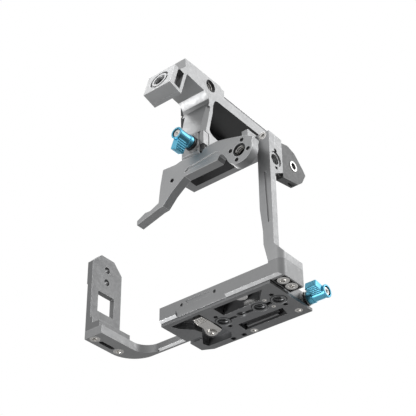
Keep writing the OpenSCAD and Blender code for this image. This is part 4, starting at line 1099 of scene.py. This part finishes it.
@dataclass(frozen=True)
class Studio:
    """Camera, lights, backdrop and floor.

    Attributes:
        camera_at: Place of the camera, in metres.
        azimuth: Turn of the camera about Z, in degrees.
        elevation: Height angle of the camera, in degrees.
        roll: Turn of the picture, in degrees.
        lens: Focal length, in millimetres.
        sensor: Width of the sensor, in millimetres.
        near: Nearest distance that the camera shows.
        aim: Point that the lamps face.
        floor_z: Height of the floor.
        floor_size: Width of the floor.
        floor_grey: Grey of the floor in the light that it bounces.
        floor_pale: Darkest and palest grey that is seen of the floor.
        floor_rough: Roughness of the floor.
        floor_pattern: Scale of the floor's pattern, per metre.
        ambient: Brightness of the world as a light.
        lamps: Soft lights.
    """

    camera_at: tuple[float, float, float] = (0.41769, -0.53794, -0.379)
    azimuth: float = 38.6
    elevation: float = -34.6
    roll: float = -0.6
    lens: float = 102.3
    sensor: float = 36.0
    near: float = 0.01
    aim: tuple[float, float, float] = (0.0, -0.01, 0.09)
    floor_z: float = -0.62
    floor_size: float = 8.0
    floor_grey: float = 0.30
    floor_pale: tuple[float, float] = (0.86, 0.90)
    floor_rough: float = 0.85
    floor_pattern: float = 3.0
    ambient: float = 0.30
    lamps: tuple[Lamp, ...] = (
        Lamp("key_right", (1.15, 0.85, 0.95), 0.9, 8.0),
        Lamp("front_high", (-0.30, -1.35, 0.65), 0.8, 1.3),
        Lamp("overhead", (-0.35, -0.35, 1.35), 0.8, 6.0),
        Lamp("back_left", (-0.9, 1.1, 0.6), 0.8, 6.0),
        Lamp("low_front", (-0.34, -0.38, -0.28), 0.22, 2.4),
    )

    def camera(self) -> None:
        """Set the camera where the photograph's camera was."""
        a, e, roll = (math.radians(v) for v in (self.azimuth, self.elevation, self.roll))
        back = Vector((math.sin(a) * math.cos(e), -math.cos(a) * math.cos(e), math.sin(e)))
        right = (-back).cross(Vector((0, 0, 1))).normalized()
        up = right.cross(-back)
        side = right * math.cos(roll) + up * math.sin(roll)
        rise = up * math.cos(roll) - right * math.sin(roll)
        matrix = Matrix((side, rise, back)).transposed().to_4x4()
        matrix.translation = Vector(self.camera_at)
        data = bpy.data.cameras.new("camera")
        data.lens = self.lens
        data.sensor_width = self.sensor
        data.clip_start = self.near
        camera = bpy.data.objects.new("camera", data)
        camera.matrix_world = matrix
        bpy.context.scene.collection.objects.link(camera)
        bpy.context.scene.camera = camera

    def lights(self) -> None:
        """Hang the soft lights."""
        for lamp in self.lamps:
            data = bpy.data.lights.new(lamp.name, "AREA")
            data.shape = "SQUARE"
            data.size = lamp.size
            data.energy = lamp.watts
            light = bpy.data.objects.new(lamp.name, data)
            light.location = lamp.at
            direction = Vector(self.aim) - Vector(lamp.at)
            light.rotation_euler = direction.to_track_quat("-Z", "Y").to_euler()
            light.visible_camera = False
            bpy.context.scene.collection.objects.link(light)

    @staticmethod
    def seen(nodes: bpy.types.Nodes, links: bpy.types.NodeLinks) -> bpy.types.NodeSocket:
        """Add the share of a ray that sees the backdrop: camera, glossy and transmission rays.

        Args:
            nodes: Nodes of the world or material.
            links: Links of the world or material.

        Returns:
            The share.
        """
        path = nodes.new("ShaderNodeLightPath")
        total = path.outputs["Is Camera Ray"]
        for kind in ("Is Glossy Ray", "Is Transmission Ray"):
            add = nodes.new("ShaderNodeMath")
            add.operation = "ADD"
            add.use_clamp = True
            links.new(total, add.inputs[0])
            links.new(path.outputs[kind], add.inputs[1])
            total = add.outputs["Value"]
        return total

    def world(self) -> None:
        """Give the world a white backdrop that metal and clear pieces show too."""
        world = bpy.data.worlds.new("studio")
        bpy.context.scene.world = world
        world.use_nodes = True
        nodes, links = world.node_tree.nodes, world.node_tree.links
        nodes.clear()
        dim = nodes.new("ShaderNodeBackground")
        dim.inputs["Color"].default_value = (1.0, 1.0, 1.0, 1.0)
        dim.inputs["Strength"].default_value = self.ambient
        white = nodes.new("ShaderNodeBackground")
        white.inputs["Color"].default_value = (1.0, 1.0, 1.0, 1.0)
        white.inputs["Strength"].default_value = 1.0
        mix = nodes.new("ShaderNodeMixShader")
        links.new(self.seen(nodes, links), mix.inputs["Fac"])
        links.new(dim.outputs["Background"], mix.inputs[1])
        links.new(white.outputs["Background"], mix.inputs[2])
        output = nodes.new("ShaderNodeOutputWorld")
        links.new(mix.outputs["Shader"], output.inputs["Surface"])

    def floor(self) -> None:
        """Lay the floor well below the object: pale to the eye and in metal, grey as a bounce."""
        bpy.ops.object.select_all(action="DESELECT")
        bpy.ops.mesh.primitive_plane_add(size=self.floor_size, location=(0, 0, self.floor_z))
        floor = bpy.context.object
        floor.name = "studio_floor"
        material = bpy.data.materials.new("studio_floor")
        material.use_nodes = True
        nodes, links = material.node_tree.nodes, material.node_tree.links
        shader = nodes["Principled BSDF"]
        shader.inputs["Roughness"].default_value = self.floor_rough
        coords = nodes.new("ShaderNodeTexCoord")
        noise = nodes.new("ShaderNodeTexNoise")
        noise.inputs["Scale"].default_value = self.floor_pattern
        links.new(coords.outputs["Object"], noise.inputs["Vector"])
        ramp = nodes.new("ShaderNodeValToRGB")
        for element, grey in zip(ramp.color_ramp.elements, self.floor_pale):
            element.color = (grey, grey, grey, 1.0)
        links.new(noise.outputs["Fac"], ramp.inputs["Fac"])
        shown = nodes.new("ShaderNodeMix")
        shown.data_type = "RGBA"
        shown.inputs["A"].default_value = (*[self.floor_grey] * 3, 1.0)
        links.new(self.seen(nodes, links), shown.inputs["Factor"])
        links.new(ramp.outputs["Color"], shown.inputs["B"])
        links.new(shown.outputs["Result"], shader.inputs["Base Color"])
        floor.data.materials.append(material)

    def build(self) -> None:
        """Build the whole studio."""
        self.camera()
        self.lights()
        self.world()
        self.floor()
        bpy.context.scene.view_settings.view_transform = "Standard"


@dataclass(frozen=True)
class CameraCage:
    """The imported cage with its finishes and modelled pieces.

    Attributes:
        shop: Modelling steps.
    """

    frame: dict
    shop: Workshop

    def finishes(self) -> None:
        """Give each CAD node its slot's material."""
        slots = {part["node"]: Slot(part["material_slot"]) for part in self.frame["record"]["subparts"]}
        for name, node in self.frame["nodes"].items():
            node.data.materials.clear()
            node.data.materials.append(self.shop.materials.get(slots[name]))

    def build(self) -> None:
        """Build every piece, from the base up."""
        self.finishes()
        for part in BASE_PARTS + GRIP_PARTS + TOP_PARTS + HANDLE_PARTS:
            part.build(self.shop, self.frame["nodes"])
        for piece in KNOBS + SPRINGS + PLATE_THREADS + CAGE_THREADS + HANDLE_THREADS + (FootCheek(),):
            piece.build(self.shop)


def main() -> None:
    """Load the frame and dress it."""
    logging.basicConfig(level=logging.INFO, format="%(name)s: %(message)s")
    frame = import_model()
    CameraCage(frame, Workshop(Materials())).build()
    Studio().build()


if __name__ == "__main__":
    main()
